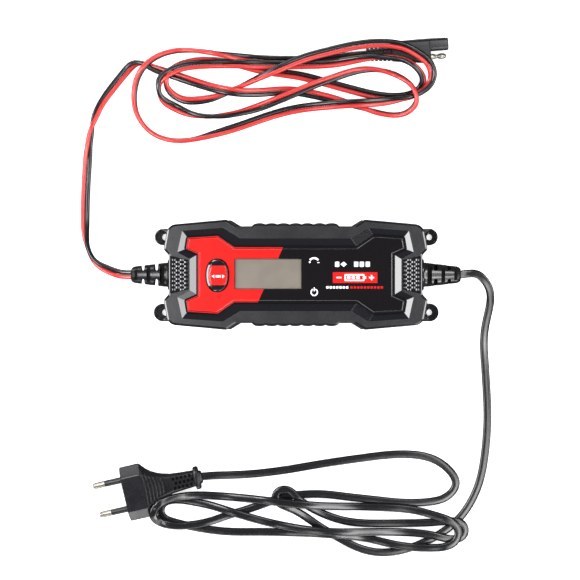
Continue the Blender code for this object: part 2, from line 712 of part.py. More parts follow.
# Plug: front face at its frame's origin, pins towards -X, cord towards +X
PLUG_FACE = (-110.6, -141.8, 7.1)
PLUG_TURN = 13.0
PIN_SPREAD = 9.5
PLUG_SECTIONS = [(0, 17.1, 6.3, 5), (0.6, 17.6, 6.8, 5), (12.4, 17.6, 6.8, 5), (14.6, 14.8, 6.6, 4),
                 (18, 11.4, 6.2, 3.5), (25, 7.8, 5.6, 3), (32, 6.1, 5.1, 3), (45.4, 5.0, 4.6, 3),
                 (45.4, 7.4, 6.2, 3), (48.4, 7.4, 6.2, 3), (48.4, 3.6, 3.0, 3), (50.2, 3.4, 2.8, 3)]


def mains_plug():
    """Flat two-pin plug with a waisted body, a collar and half-sleeved pins."""
    frame = frame_at("plug_frame", in_mm([PLUG_FACE])[0], PLUG_TURN)
    rings = [oval(half * MM, tall * MM, x * MM, square) for x, half, tall, square in PLUG_SECTIONS]
    body = loft("plug_body", rings, "flexible_pvc", frame)
    sockets, slots = [], []
    for side in (1, -1):
        place = (side * PIN_SPREAD * MM, 0)
        sockets.append(turned_along_x([(2.35 * MM, -1 * MM), (2.35 * MM, 8 * MM)], 16, place))
        for k in range(3):
            x = (34 + 4 * k) * MM
            slots.append(block(x - 0.8 * MM, x + 0.8 * MM, side * 3.6 * MM, side * 9 * MM,
                               -9 * MM, 9 * MM))
    cut(body, sockets + slots, "plug_sockets")
    for i, side in enumerate((1, -1)):
        place = (side * PIN_SPREAD * MM, 0)
        pin = in_mm([(0.9, -19.0), (1.6, -18.4), (1.97, -17.2), (1.97, -11.3), (1.3, -11.3), (1.3, 7.0)])
        loft(f"plug_pin_{i + 1}", turned_along_x(pin, 16, place), "nickel", frame)
        sleeve = loft(f"plug_sleeve_{i + 1}", turned_along_x(
            [(2.0 * MM, -11.0 * MM), (2.0 * MM, 7.4 * MM)], 16, place), "component_black", frame)
        cut(sleeve, [turned_along_x([(1.6 * MM, -12 * MM), (1.6 * MM, 9 * MM)], 16, place)],
            f"sleeve_bore_{i + 1}")


# DC connector: front face of the body at its frame's origin, contacts towards +X
CONNECTOR_FACE = (86.9, 144.9, 4.4)
CONNECTOR_TURN = 3.5


def dc_connector():
    """Two-pole connector: one bare pin, one contact inside a shroud."""
    frame = frame_at("connector_frame", in_mm([CONNECTOR_FACE])[0], CONNECTOR_TURN)
    sections = [(-41.5, 3.4, 3.2, 2.4), (-40.9, 4.2, 3.9, 2.4), (-26.0, 4.6, 4.1, 2.4), (-25.3, 6.6, 4.1, 6),
                (-24.6, 7.1, 4.2, 8), (-0.6, 8.0, 4.2, 8), (0.0, 7.6, 3.9, 8)]
    body = loft("sae_body", [oval(a * MM, b * MM, x * MM, n) for x, a, b, n in sections],
                "flexible_pvc", frame)
    shroud = turned_along_x(in_mm([(3.9, -3.0), (3.9, 11.2), (3.6, 11.6)]), 20, (3.9 * MM, 0))
    join(body, [shroud], "shroud")
    bores = [turned_along_x([(3.0 * MM, -8 * MM), (3.0 * MM, 13 * MM)], 20, (3.9 * MM, 0)),
             turned_along_x([(2.1 * MM, -8 * MM), (2.1 * MM, 2 * MM)], 16, (-3.7 * MM, 0))]
    for k in range(5):
        x = (-38.6 + 2.6 * k) * MM
        for side in (1, -1):
            bores.append(block(x - 0.65 * MM, x + 0.65 * MM, side * 2.9 * MM, side * 6 * MM,
                               -5 * MM, 5 * MM))
    cut(body, bores, "connector_bores")
    pin = in_mm([(1.8, -7.6), (1.8, 1.6), (1.25, 3.4), (1.25, 4.4), (1.8, 6.0), (1.8, 8.2), (1.2, 9.6),
                 (0.5, 10.2)])
    loft("sae_pin", turned_along_x(pin, 16, (-3.7 * MM, 0)), "nickel", frame)
    contact = loft("sae_socket_contact", turned_along_x(in_mm([(2.7, -7.6), (2.7, 9.8)]), 16,
                                                        (3.9 * MM, 0)), "nickel", frame)
    cut(contact, [turned_along_x(in_mm([(2.0, -4.0), (2.0, 12.0)]), 16, (3.9 * MM, 0))],
        "contact_bore")


# Routes of the leads' centre lines, from gland to connector, in mm
DC_ROUTE = [
    # from the gland down to the table, and up along the left side
    (-105.5, 0.0, 20.0), (-110.0, 0.1, 19.7), (-120.4, 3.2, 16.8), (-128.8, 8.1, 13.0),
    (-133.5, 15.6, 9.4), (-136.0, 25.0, 6.0), (-136.8, 37.4, 3.4), (-136.8, 50.1, 2.0),
    (-135.9, 68.7, 1.7), (-134.0, 88.0, 1.7), (-128.8, 106.6, 1.7), (-116.5, 124.9, 1.7),
    (-110.1, 132.6, 1.7), (-105.1, 136.7, 1.7), (-100.5, 137.2, 1.7), (-95.0, 135.1, 1.7),
    # first run to the right, over the inner loop
    (-84.3, 131.2, 1.7), (-61.2, 123.2, 4.4), (-43.0, 118.5, 7.9), (-25.0, 118.0, 4.2),
    (-2.8, 119.3, 1.7), (6.3, 118.0, 1.7), (34.9, 110.7, 1.7), (54.4, 104.7, 1.8),
    # lower right bend, lying on two others
    (63.5, 103.4, 2.8), (70.8, 104.6, 5.4), (75.5, 108.0, 8.2), (77.6, 112.4, 10.8),
    (76.9, 117.0, 11.4), (74.8, 121.2, 9.4), (71.0, 125.3, 6.2), (64.5, 129.4, 3.0),
    # return to the left
    (54.0, 132.6, 2.0), (43.0, 132.8, 2.4), (26.2, 128.1, 4.6), (12.0, 123.0, 5.6),
    (0.0, 118.1, 5.2), (-12.0, 113.3, 4.0), (-27.0, 107.9, 1.9), (-43.7, 103.7, 1.7),
    (-58.0, 102.7, 1.7), (-70.3, 104.8, 1.7), (-79.0, 108.8, 1.9), (-86.2, 113.4, 3.4),
    (-88.8, 119.5, 6.0), (-87.6, 125.6, 8.0), (-82.4, 130.4, 8.6), (-74.0, 134.0, 8.2),
    # second run to the right, beside the last one and over the connector's sleeve
    (-62.0, 135.8, 7.2), (-50.0, 136.2, 7.4), (-38.0, 136.1, 7.8), (-22.0, 135.9, 5.6),
    (-5.0, 135.9, 5.0), (12.0, 136.1, 5.2), (26.0, 136.9, 7.2), (40.0, 138.9, 10.2),
    (52.0, 140.0, 10.8), (63.0, 139.5, 10.8), (72.5, 136.8, 10.5), (79.0, 132.2, 7.2),
    (82.1, 126.4, 3.4), (80.6, 120.9, 1.7), (75.0, 117.0, 1.7), (65.0, 115.2, 1.7),
    # third run, to the left, round the inner loop
    (52.0, 116.3, 1.7), (37.6, 119.7, 1.7), (20.0, 124.5, 1.7), (3.0, 128.9, 1.7),
    (-13.0, 131.2, 1.7), (-27.0, 133.4, 1.7), (-41.0, 137.0, 1.7), (-52.0, 139.4, 1.7),
    (-64.0, 139.4, 1.7), (-74.0, 137.4, 2.4), (-80.6, 133.2, 5.0), (-83.8, 127.5, 5.2),
    (-83.4, 121.2, 3.2), (-79.2, 116.4, 1.9), (-72.5, 113.3, 1.7), (-64.0, 113.1, 1.7),
    # fourth run, to the right, over everything and over the connector
    (-54.0, 114.7, 1.7), (-45.0, 118.0, 1.7), (-34.0, 123.1, 2.4), (-14.1, 131.7, 7.6),
    (-2.7, 136.7, 8.9), (8.9, 140.9, 9.0), (20.0, 143.8, 9.2), (33.0, 146.8, 9.8),
    (47.0, 148.8, 10.6), (60.4, 148.8, 10.8), (70.5, 146.6, 10.8), (78.5, 142.4, 10.6),
    (85.2, 136.8, 10.4), (88.0, 130.0, 7.8), (86.4, 123.4, 5.6), (81.0, 118.4, 5.2),
    # fifth run, to the left, round the big outer loop
    (73.0, 115.1, 5.2), (62.0, 112.8, 5.2), (50.0, 111.3, 7.0), (36.0, 110.5, 7.8),
    (20.0, 109.6, 5.2), (5.7, 108.4, 2.4), (-7.2, 106.0, 1.7), (-20.9, 101.9, 1.7),
    (-38.0, 96.0, 1.7), (-55.0, 90.8, 1.7), (-70.3, 87.2, 1.7), (-82.0, 87.4, 1.7),
    (-92.5, 91.2, 1.7), (-100.2, 98.5, 1.7), (-104.4, 107.6, 1.7), (-105.0, 117.6, 2.2),
    (-102.4, 127.6, 5.6), (-97.2, 135.2, 7.9), (-89.2, 141.2, 6.2), (-79.0, 144.7, 4.4),
    # last run, to the connector
    (-66.0, 144.9, 5.0), (-54.0, 143.1, 7.2), (-42.0, 141.3, 6.0), (-28.0, 139.9, 2.8),
    (-10.0, 139.3, 1.7), (8.0, 139.5, 1.7), (22.0, 140.5, 1.9), (33.0, 141.6, 2.9),
    (40.5, 142.1, 4.1), (45.0, 142.35, 4.4),
]
MAINS_ROUTE = [
    # from the gland down to the table, and down the right side
    (105.5, 0.2, 20.0), (110.0, 0.7, 19.7), (115.6, 0.4, 18.2), (120.8, -3.6, 16.0),
    (124.4, -10.4, 13.8), (124.9, -18.0, 11.2), (122.8, -30.0, 7.4), (121.6, -42.6, 4.2),
    (122.3, -56.2, 2.2), (123.5, -74.4, 1.7), (124.1, -94.3, 1.7), (122.6, -115.0, 1.7),
    (118.6, -135.4, 1.7), (112.2, -149.4, 1.7), (104.6, -159.3, 1.7), (96.0, -166.4, 1.7),
    (86.3, -172.1, 1.7), (70.5, -178.2, 1.7), (54.0, -180.2, 1.7), (39.5, -176.9, 1.7),
    (26.5, -170.2, 1.7), (14.0, -162.6, 1.7), (3.0, -155.0, 2.8),
    # small loop, under the long upper strand both ways
    (-7.0, -150.0, 4.6), (-14.0, -146.2, 5.2), (-17.4, -140.8, 5.0), (-14.6, -135.6, 4.6),
    (-8.4, -135.2, 4.6), (-2.4, -140.8, 5.2), (8.0, -150.0, 3.4), (20.0, -156.2, 1.8), (34.0, -160.2, 1.7),
    (51.0, -161.4, 1.7), (72.0, -161.2, 1.8), (90.0, -160.3, 3.6), (103.0, -159.7, 5.0),
    # hairpin at the right, then the straight strand to the left
    (107.5, -161.3, 5.0), (109.2, -165.4, 5.0), (107.5, -169.5, 5.0), (103.0, -171.1, 5.0),
    (90.0, -169.0, 5.0),
    (72.0, -167.0, 3.4), (54.0, -166.4, 4.8), (36.0, -166.2, 8.0), (18.0, -165.6, 8.6),
    (2.0, -164.1, 6.0), (-14.0, -161.4, 3.4), (-29.0, -157.4, 4.6), (-42.0, -153.4, 5.2),
    (-54.0, -149.9, 3.2), (-68.0, -147.1, 1.8), (-80.5, -146.2, 1.7), (-85.9, -148.2, 1.7),
    (-88.1, -152.9, 1.7), (-86.0, -157.6, 1.7),
    # inner left loop and the lower strand to the right
    (-80.8, -160.1, 1.7), (-71.0, -162.7, 1.7), (-58.5, -165.1, 1.7), (-43.6, -166.7, 1.7),
    (-23.6, -166.9, 1.7), (-4.1, -167.2, 2.4), (12.0, -167.4, 4.8), (27.0, -168.4, 5.2),
    (44.3, -170.6, 3.0), (60.5, -174.0, 4.6), (76.6, -176.4, 5.2), (88.0, -176.5, 6.6),
    # right loop tip over the others, and the upper strand to the left
    (97.0, -175.3, 8.2), (102.6, -172.0, 8.4), (104.7, -166.6, 8.4), (102.2, -160.9, 8.4),
    (96.0, -157.4, 8.2), (87.0, -154.8, 6.2),
    (76.0, -152.3, 4.8), (60.0, -150.8, 4.6), (40.0, -150.2, 3.6), (22.0, -149.7, 5.8),
    (7.0, -148.6, 8.2), (-7.0, -147.2, 8.6), (-20.0, -145.7, 8.0), (-34.0, -144.6, 4.6),
    (-48.0, -143.7, 2.4), (-63.0, -143.0, 3.2),
    # outer left loop, over the plug's shoulder
    (-75.5, -143.6, 6.4), (-84.4, -145.7, 11.0), (-90.2, -149.6, 13.0), (-91.9, -155.0, 11.0),
    (-88.4, -159.6, 7.2), (-80.5, -162.1, 5.4), (-69.7, -162.1, 5.0), (-58.0, -160.2, 4.2),
    (-43.6, -155.9, 1.7), (-26.0, -150.4, 1.7), (-9.0, -144.6, 1.7), (4.4, -142.6, 1.7),
    # last strand, round the right side and back to the plug
    (17.0, -142.4, 1.7), (33.0, -144.1, 1.7), (52.0, -146.2, 1.7), (70.0, -147.9, 1.7),
    (86.0, -147.4, 1.7), (98.5, -143.4, 1.7), (103.6, -135.4, 1.7), (99.0, -126.6, 1.7),
    (88.0, -119.3, 1.7), (71.2, -116.5, 1.7), (44.3, -118.7, 1.7), (17.3, -122.6, 1.7),
    (-4.2, -126.2, 1.8), (-23.6, -128.6, 3.0), (-43.0, -129.6, 5.2), (-56.0, -129.9, 6.8),
    (-61.4, -130.4, 7.1),
]


def main():
    for item in list(bpy.data.objects):
        bpy.data.objects.remove(item)
    bottom_cover()
    top_cover()
    cover_gaskets()
    case_screws()
    small_screws()
    label_panel()
    lcd_stack()
    mode_button()
    display_board()
    main_board()
    transformer()
    choke()
    capacitor("input_capacitor", 7.8 * MM, 21 * MM, (28 * MM, 12 * MM))
    capacitor("output_capacitor_1", 5 * MM, 16 * MM, (-47 * MM, 6 * MM))
    capacitor("output_capacitor_2", 5 * MM, 16 * MM, (-47 * MM, -6 * MM))
    heatsink()
    line_parts()
    internal_tails()
    gland("ac_gland", 1)
    gland("dc_gland", -1)
    mains_plug()
    dc_connector()
    lead("dc_lead", DC_ROUTE, "red_pvc")
    lead("mains_lead", MAINS_ROUTE, "flexible_pvc")


main()
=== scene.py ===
"""Car battery charger: the looks of the visual model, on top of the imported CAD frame.

Everything is in the row's frame. Lengths are written in millimetres and scaled by MM.
"""
import math

import bmesh
import bpy
from mathutils import Matrix, Vector


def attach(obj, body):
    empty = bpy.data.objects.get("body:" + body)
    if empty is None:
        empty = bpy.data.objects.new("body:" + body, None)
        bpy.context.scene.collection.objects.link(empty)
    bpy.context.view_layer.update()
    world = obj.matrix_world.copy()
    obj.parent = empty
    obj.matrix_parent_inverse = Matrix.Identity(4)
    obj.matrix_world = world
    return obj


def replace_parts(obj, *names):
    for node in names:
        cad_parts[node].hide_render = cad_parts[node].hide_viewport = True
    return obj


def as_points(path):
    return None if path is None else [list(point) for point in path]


MM = 0.001
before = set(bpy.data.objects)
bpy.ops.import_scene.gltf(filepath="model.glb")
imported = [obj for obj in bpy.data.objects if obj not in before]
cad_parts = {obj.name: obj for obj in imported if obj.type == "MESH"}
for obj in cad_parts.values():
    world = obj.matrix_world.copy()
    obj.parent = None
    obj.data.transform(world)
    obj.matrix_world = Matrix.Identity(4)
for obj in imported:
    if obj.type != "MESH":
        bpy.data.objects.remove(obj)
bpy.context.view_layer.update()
HOUSING, BUTTON = "housing", "mode_button"


# ---------------------------------------------------------------- mesh helpers

def piece(name, vertices, faces, finish, body=HOUSING, smooth=35.0, slots=None):
    """A mesh object in the row's frame, from points in mm, riding on a body."""
    mesh = bpy.data.meshes.new(name)
    mesh.from_pydata([tuple(c * MM for c in v) for v in vertices], [], faces)
    for each in (finish if isinstance(finish, (list, tuple)) else [finish]):
        mesh.materials.append(each)
    if slots:
        mesh.polygons.foreach_set("material_index", slots)
    shape = bmesh.new()
    shape.from_mesh(mesh)
    bmesh.ops.recalc_face_normals(shape, faces=shape.faces)
    shape.to_mesh(mesh)
    shape.free()
    mesh.shade_smooth()
    mesh.set_sharp_from_angle(angle=math.radians(smooth))
    item = bpy.data.objects.new(name, mesh)
    bpy.context.scene.collection.objects.link(item)
    if body:
        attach(item, body)
    return item


def band(rings, closed=True, caps=True, first=0):
    """Faces between equal rings."""
    count = len(rings[0])
    faces = []
    if caps:
        faces.append(tuple(range(first, first + count)))
    for level in range(len(rings) - 1):
        low = first + level * count
        for i in range(count if closed else count - 1):
            j = (i + 1) % count
            faces.append((low + i, low + j, low + count + j, low + count + i))
    if caps:
        last = first + (len(rings) - 1) * count
        faces.append(tuple(range(last, last + count)))
    return faces


def loft(name, rings, finish, body=HOUSING, smooth=35.0, place=None):
    """A closed solid through equal rings; place maps a point in mm into the row's frame."""
    points = [p for ring in rings for p in ring]
    if place:
        points = [place(p) for p in points]
    return piece(name, points, band(rings), finish, body, smooth)


def lofts(name, stacks, finish, body=HOUSING, smooth=35.0, place=None):
    """Several closed solids in one mesh."""
    points, faces = [], []
    for rings in stacks:
        faces += band(rings, first=len(points))
        points += [p for ring in rings for p in ring]
    if place:
        points = [place(p) for p in points]
    return piece(name, points, faces, finish, body, smooth)


def applied(item):
    """Replaces the mesh by the result of its modifiers."""
    graph = bpy.context.evaluated_depsgraph_get()
    mesh = bpy.data.meshes.new_from_object(item.evaluated_get(graph))
    old = item.data
    item.modifiers.clear()
    item.data = mesh
    bpy.data.meshes.remove(old)
    return item


def boolean(target, stacks, operation="DIFFERENCE", finish=None, place=None):
    """Cuts closed lofts out of a piece, or joins them to it."""
    tool = lofts(target.name + "_tool", stacks, finish or target.data.materials[0], None, place=place)
    change = target.modifiers.new("change", "BOOLEAN")
    change.operation, change.solver, change.object = operation, "MANIFOLD", tool
    change.material_mode = "TRANSFER"
    target.modifiers.new("triangles", "TRIANGULATE").min_vertices = 5
    applied(target)
    bpy.data.objects.remove(tool)
    resharpened(target)
    return target


def resharpened(item, angle=24):
    item.data.shade_smooth()
    item.data.set_sharp_from_angle(angle=math.radians(angle))


def flattened(item):
    """Lets the large flat faces set the shading, so that small steps beside them don't tint them."""
    flat = item.modifiers.new("flat", "WEIGHTED_NORMAL")
    flat.keep_sharp, flat.weight = True, 50
    return applied(item)


def soften(item, width, segments=2, angle=20.0):
    """Rounds the sharp edges by a small bevel and shades the result smooth."""
    weld = item.modifiers.new("weld", "WELD")
    weld.merge_threshold = 0.00002
    edge = item.modifiers.new("edge", "BEVEL")
    edge.width, edge.segments = width * MM, segments
    edge.limit_method, edge.angle_limit = "ANGLE", math.radians(angle)
    edge.miter_outer = "MITER_ARC"
    applied(item)
    resharpened(item, 40)
    return flattened(item)


# ---------------------------------------------------------------- outlines

def rounded(corners, steps=None):
    """A plan outline through (x, y, radius) corners."""
    outline = []
    for i, (x, y, radius) in enumerate(corners):
        here = Vector((x, y))
        back = (Vector(corners[i - 1][:2]) - here).normalized()
        ahead = (Vector(corners[(i + 1) % len(corners)][:2]) - here).normalized()
        half = back.angle(ahead) / 2
        centre = here + (back + ahead).normalized() * radius / math.sin(half)
        start = here + back * radius / math.tan(half) - centre
        end = here + ahead * radius / math.tan(half) - centre
        begin = math.atan2(start.y, start.x)
        sweep = math.remainder(math.atan2(end.y, end.x) - begin, math.tau)
        parts = steps or max(3, round(abs(sweep) * (3 + radius)))
        for k in range(parts + 1):
            angle = begin + sweep * k / parts
            outline.append(centre + radius * Vector((math.cos(angle), math.sin(angle))))
    return outline


def four_fold(quadrant):
    """All corners of a plan that mirrors one quadrant across X and Y."""
    return (quadrant + [(-x, y, r) for x, y, r in reversed(quadrant)]
            + [(-x, -y, r) for x, y, r in quadrant] + [(x, -y, r) for x, y, r in reversed(quadrant)])


def inset(outline, distance):
    """The outline moved inwards, corner for corner."""
    moved = []
    for i, here in enumerate(outline):
        back = (here - outline[i - 1]).normalized()
        ahead = (outline[(i + 1) % len(outline)] - here).normalized()
        left, right = Vector((-back.y, back.x)), Vector((-ahead.y, ahead.x))
        moved.append(here + (left + right) * distance / (1 + left.dot(right)))
    return moved


def level(outline, height):
    return [(p[0], p[1], height) for p in outline]


def circle(radius, sides=32, centre=(0.0, 0.0)):
    return [(centre[0] + radius * math.cos(math.tau * k / sides),
             centre[1] + radius * math.sin(math.tau * k / sides)) for k in range(sides)]


def rectangle(x0, x1, y0, y1):
    return [(x0, y0), (x1, y0), (x1, y1), (x0, y1)]


def block(x0, x1, y0, y1, z0, z1):
    return slab(rectangle(x0, x1, y0, y1), z0, z1)


def oval(half_width, half_height, square=2.0, sides=48):
    """A superellipse; 2 is an ellipse, more is squarer."""
    return [(half_width * math.copysign(abs(math.cos(a)) ** (2 / square), math.cos(a)),
             half_height * math.copysign(abs(math.sin(a)) ** (2 / square), math.sin(a)))
            for a in (math.tau * k / sides for k in range(sides))]


def moved(outline, x, y):
    return [(p[0] + x, p[1] + y) for p in outline]


def turned(profile, sides=32, centre=(0.0, 0.0)):
    return [level(circle(r, sides, centre), z) for r, z in profile]


def post(radius, low, high, sides, at):
    """A straight round post or bore, upright."""
    return turned([(radius, low), (radius, high)], sides, at)


def turned_along_x(profile, sides=32, centre=(0.0, 0.0)):
    return [[(x, y, z) for y, z in circle(r, sides, centre)] for r, x in profile]


def slab(outline, low, high):
    """The two rings of a flat plate."""
    return [level(outline, low), level(outline, high)]


def signs():
    return [(sx, sy) for sx in (1, -1) for sy in (1, -1)]


def four_places(x, y):
    return [(sx * x, sy * y) for sx, sy in signs()]


def placing(origin, degrees):
    """A function that turns a local point about Z and moves it to an origin, in mm."""
    cosine, sine = math.cos(math.radians(degrees)), math.sin(math.radians(degrees))

    def place(p):
        return (origin[0] + cosine * p[0] - sine * p[1], origin[1] + sine * p[0] + cosine * p[1],
                origin[2] + p[2])
    return place


# ---------------------------------------------------------------- materials

def shader(name, colour, roughness, metallic=0.0, **sockets):
    """A Principled material with its constants on the shader's own sockets."""
    made = bpy.data.materials.new(name)
    made.use_nodes = True
    bsdf = made.node_tree.nodes["Principled BSDF"]
    bsdf.inputs["Base Color"].default_value = (*colour, 1.0)
    bsdf.inputs["Roughness"].default_value = roughness
    bsdf.inputs["Metallic"].default_value = metallic
    for key, value in sockets.items():
        bsdf.inputs[key.replace("_", " ")].default_value = value
    made.diffuse_color = (*colour, 1.0)
    return made


def node(made, kind):
    return made.node_tree.nodes.new(kind)


def link(made, source, out, target, into):
    made.node_tree.links.new(source.outputs[out], target.inputs[into])


def pattern(made, size, detail=3.0, stretch=(1, 1, 1)):
    """A noise in the object's own coordinates; size is its grain in mm."""
    place = node(made, "ShaderNodeTexCoord")
    mapping = node(made, "ShaderNodeMapping")
    mapping.inputs["Scale"].default_value = [s / (size * MM) for s in stretch]
    link(made, place, "Object", mapping, "Vector")
    texture = node(made, "ShaderNodeTexNoise")
    texture.inputs["Scale"].default_value = 1.0
    texture.inputs["Detail"].default_value = detail
    texture.inputs["Roughness"].default_value = 0.6
    link(made, mapping, "Vector", texture, "Vector")
    return texture


def bumped(made, source, out, height):
    """Adds a bump of the given height in mm."""
    bump = node(made, "ShaderNodeBump")
    bump.inputs["Strength"].default_value = 1.0
    bump.inputs["Distance"].default_value = height * MM
    link(made, source, out, bump, "Height")
    link(made, bump, "Normal", made.node_tree.nodes["Principled BSDF"], "Normal")


def varied(made, source, out, socket, low, high):
    """Drives a colour or a roughness from a texture between two values."""
    bsdf, start, end = made.node_tree.nodes["Principled BSDF"], 0.3, 0.7
    if socket == "Base Color":
        ramp = node(made, "ShaderNodeValToRGB")
        ramp.color_ramp.elements[0].position, ramp.color_ramp.elements[1].position = start, end
        ramp.color_ramp.elements[0].color, ramp.color_ramp.elements[1].color = (*low, 1), (*high, 1)
        link(made, source, out, ramp, "Fac")
        link(made, ramp, "Color", bsdf, socket)
        return
    area = node(made, "ShaderNodeMapRange")
    for key, value in (("From Min", start), ("From Max", end), ("To Min", low), ("To Max", high)):
        area.inputs[key].default_value = value
    link(made, source, out, area, "Value")
    link(made, area, "Result", bsdf, socket)


def moulded(name, colour, roughness, grain=0.22, height=0.02, spread=0.35, **sockets):
    """Moulded plastic or rubber: an even grain, slightly uneven gloss and colour."""
    made = shader(name, colour, roughness, **sockets)
    fine = pattern(made, grain, 2.0)
    broad = pattern(made, 9.0, 3.0)
    bumped(made, fine, "Fac", height)
    varied(made, broad, "Fac", "Roughness", roughness * 0.86, min(1.0, roughness * 1.16))
    varied(made, fine, "Fac", "Base Color", tuple(c * (1 - spread) for c in colour),
           tuple(min(1.0, c * (1 + spread)) for c in colour))
    return made


def printed(name, colour, roughness, size, height, **sockets):
    """A smooth glossy surface with a faint unevenness of the given size and height in mm."""
    made = shader(name, colour, roughness, **sockets)
    bumped(made, pattern(made, size, 2.0), "Fac", height)
    return made


def metal(name, colour, roughness, stretch=(1, 1, 1), grain=0.3, height=0.002):
    made = shader(name, colour, roughness, 1.0)
    lines = pattern(made, grain, 4.0, stretch=stretch)
    broad = pattern(made, 3.0, 3.0)
    bumped(made, lines, "Fac", height)
    varied(made, broad, "Fac", "Roughness", roughness * 0.8, roughness * 1.3)
    varied(made, lines, "Fac", "Base Color", tuple(c * 0.9 for c in colour), colour)
    return made


# ---------------------------------------------------------------- routes of the leads

LEAD_RADIUS = 1.6
WIRE_RADIUS = 1.5
CORD_SHIFT = 1.0
# Height of a strand that lies on the table; the routes' points without a height have this one
LYING = 1.7
# Twist of the red and black pair: (route point, degrees); 0 is red on the left, 90 red on top
DC_ROLLS = [
    (0, 0), (1, 0), (4, -80), (6, -10), (8, 0), (9, 60), (10, 150), (11, 180), (12, 190), (14, 270),
    (16, 350), (18, 360), (21, 370), (23, 470), (26, 470), (28, 440), (31, 430), (34, 490), (37, 520),
    (39, 600), (40, 630), (42, 700), (44, 630), (46, 545), (50, 540), (54, 560), (57, 650), (60, 665),
    (62, 720), (67, 730), (70, 780), (72, 810), (73, 800), (75, 800), (77, 780), (79, 760), (81, 800),
    (84, 890), (88, 900), (92, 905), (95, 960), (98, 1060), (101, 1080), (104, 1095), (106, 1160),
    (109, 1170), (112, 1155), (115, 1165), (117, 1185), (120, 1290), (125, 1310)]

DC_ROUTE = [
    # from the gland down to the table, and up along the left side
    (-105.5, 0, 20), (-110, 0.1, 19.7), (-120.4, 3.2, 16.8), (-128.8, 8.1, 13), (-133.5, 15.6, 9.4),
    (-136, 25, 6), (-136.8, 37.4, 3.4), (-136.8, 50.1, 2), (-135.9, 68.7), (-134, 88), (-128.8, 106.6),
    (-116.5, 124.9), (-110.1, 132.6), (-105.1, 136.7), (-100.5, 137.2), (-95, 135.1),
    # first run to the right, over the inner loop
    (-84.3, 131.2), (-61.2, 123.2, 4.4), (-43, 118.5, 7.9), (-25, 118, 4.2), (-2.8, 119.3), (6.3, 118),
    (34.9, 110.7), (54.4, 104.7, 1.8),
    # lower right bend, lying on two others
    (63.5, 103.4, 2.8), (70.8, 104.6, 5.4), (75.5, 108, 8.2), (77.6, 112.4, 10.8), (76.9, 117, 11.4),
    (74.8, 121.2, 9.4), (71, 125.3, 6.2), (64.5, 129.4, 3),
    # return to the left
    (54, 132.6, 2), (43, 132.8, 2.4), (26.2, 128.1, 4.6), (12, 123, 5.6), (0, 118.1, 5.2),
    (-12, 113.3, 4), (-27, 107.9, 1.9), (-43.7, 103.7), (-58, 102.7), (-70.3, 104.8),
    (-79, 108.8, 1.9), (-86.2, 113.4, 3.4), (-88.8, 119.5, 6), (-87.6, 125.6, 8), (-82.4, 130.4, 8.6),
    (-74, 134, 8.2),
    # second run to the right, beside the last one and over the connector's sleeve
    (-62, 135.8, 7.2), (-50, 136.2, 7.4), (-38, 136.1, 7.8), (-22, 135.9, 5.6), (-5, 135.9, 5),
    (12, 136.1, 5.2), (26, 136.9, 7.2), (40, 138.9, 10.2), (52, 140, 10.8), (63, 139.5, 10.8),
    (72.5, 136.8, 10.5), (79, 132.2, 7.2), (82.1, 126.4, 3.4), (80.6, 120.9), (75, 117), (65, 115.2),
    # third run, to the left, round the inner loop
    (52, 116.3), (37.6, 119.7), (20, 124.5), (3, 128.9), (-13, 131.2), (-27, 133.4), (-41, 137),
    (-52, 139.4), (-64, 139.4), (-74, 137.4, 2.4), (-80.6, 133.2, 5), (-83.8, 127.5, 5.2),
    (-83.4, 121.2, 3.2), (-79.2, 116.4, 1.9), (-72.5, 113.3), (-64, 113.1),
    # fourth run, to the right, over everything and over the connector
    (-54, 114.7), (-45, 118), (-34, 123.1, 2.4), (-14.1, 131.7, 7.6), (-2.7, 136.7, 8.9),
    (8.9, 140.9, 9), (20, 143.8, 9.2), (33, 146.8, 9.8), (47, 148.8, 10.6), (60.4, 148.8, 10.8),
    (70.5, 146.6, 10.8), (78.5, 142.4, 10.6), (85.2, 136.8, 10.4), (88, 130, 7.8), (86.4, 123.4, 5.6),
    (81, 118.4, 5.2),
    # fifth run, to the left, round the big outer loop
    (73, 115.1, 5.2), (62, 112.8, 5.2), (50, 111.3, 7), (36, 110.5, 7.8), (20, 109.6, 5.2),
    (5.7, 108.4, 2.4), (-7.2, 106), (-20.9, 101.9), (-38, 96), (-55, 90.8), (-70.3, 87.2), (-82, 87.4),
    (-92.5, 91.2), (-100.2, 98.5), (-104.4, 107.6), (-105, 117.6, 2.2), (-102.4, 127.6, 5.6),
    (-97.2, 135.2, 7.9), (-89.2, 141.2, 6.2), (-79, 144.7, 4.4),
    # last run, to the connector
    (-66, 144.9, 5), (-54, 143.1, 7.2), (-42, 141.3, 6), (-28, 139.9, 2.8), (-10, 139.3), (8, 139.5),
    (22, 140.5, 1.9), (33, 141.6, 2.9), (40.5, 142.1, 4.1), (45, 142.35, 4.4),
]
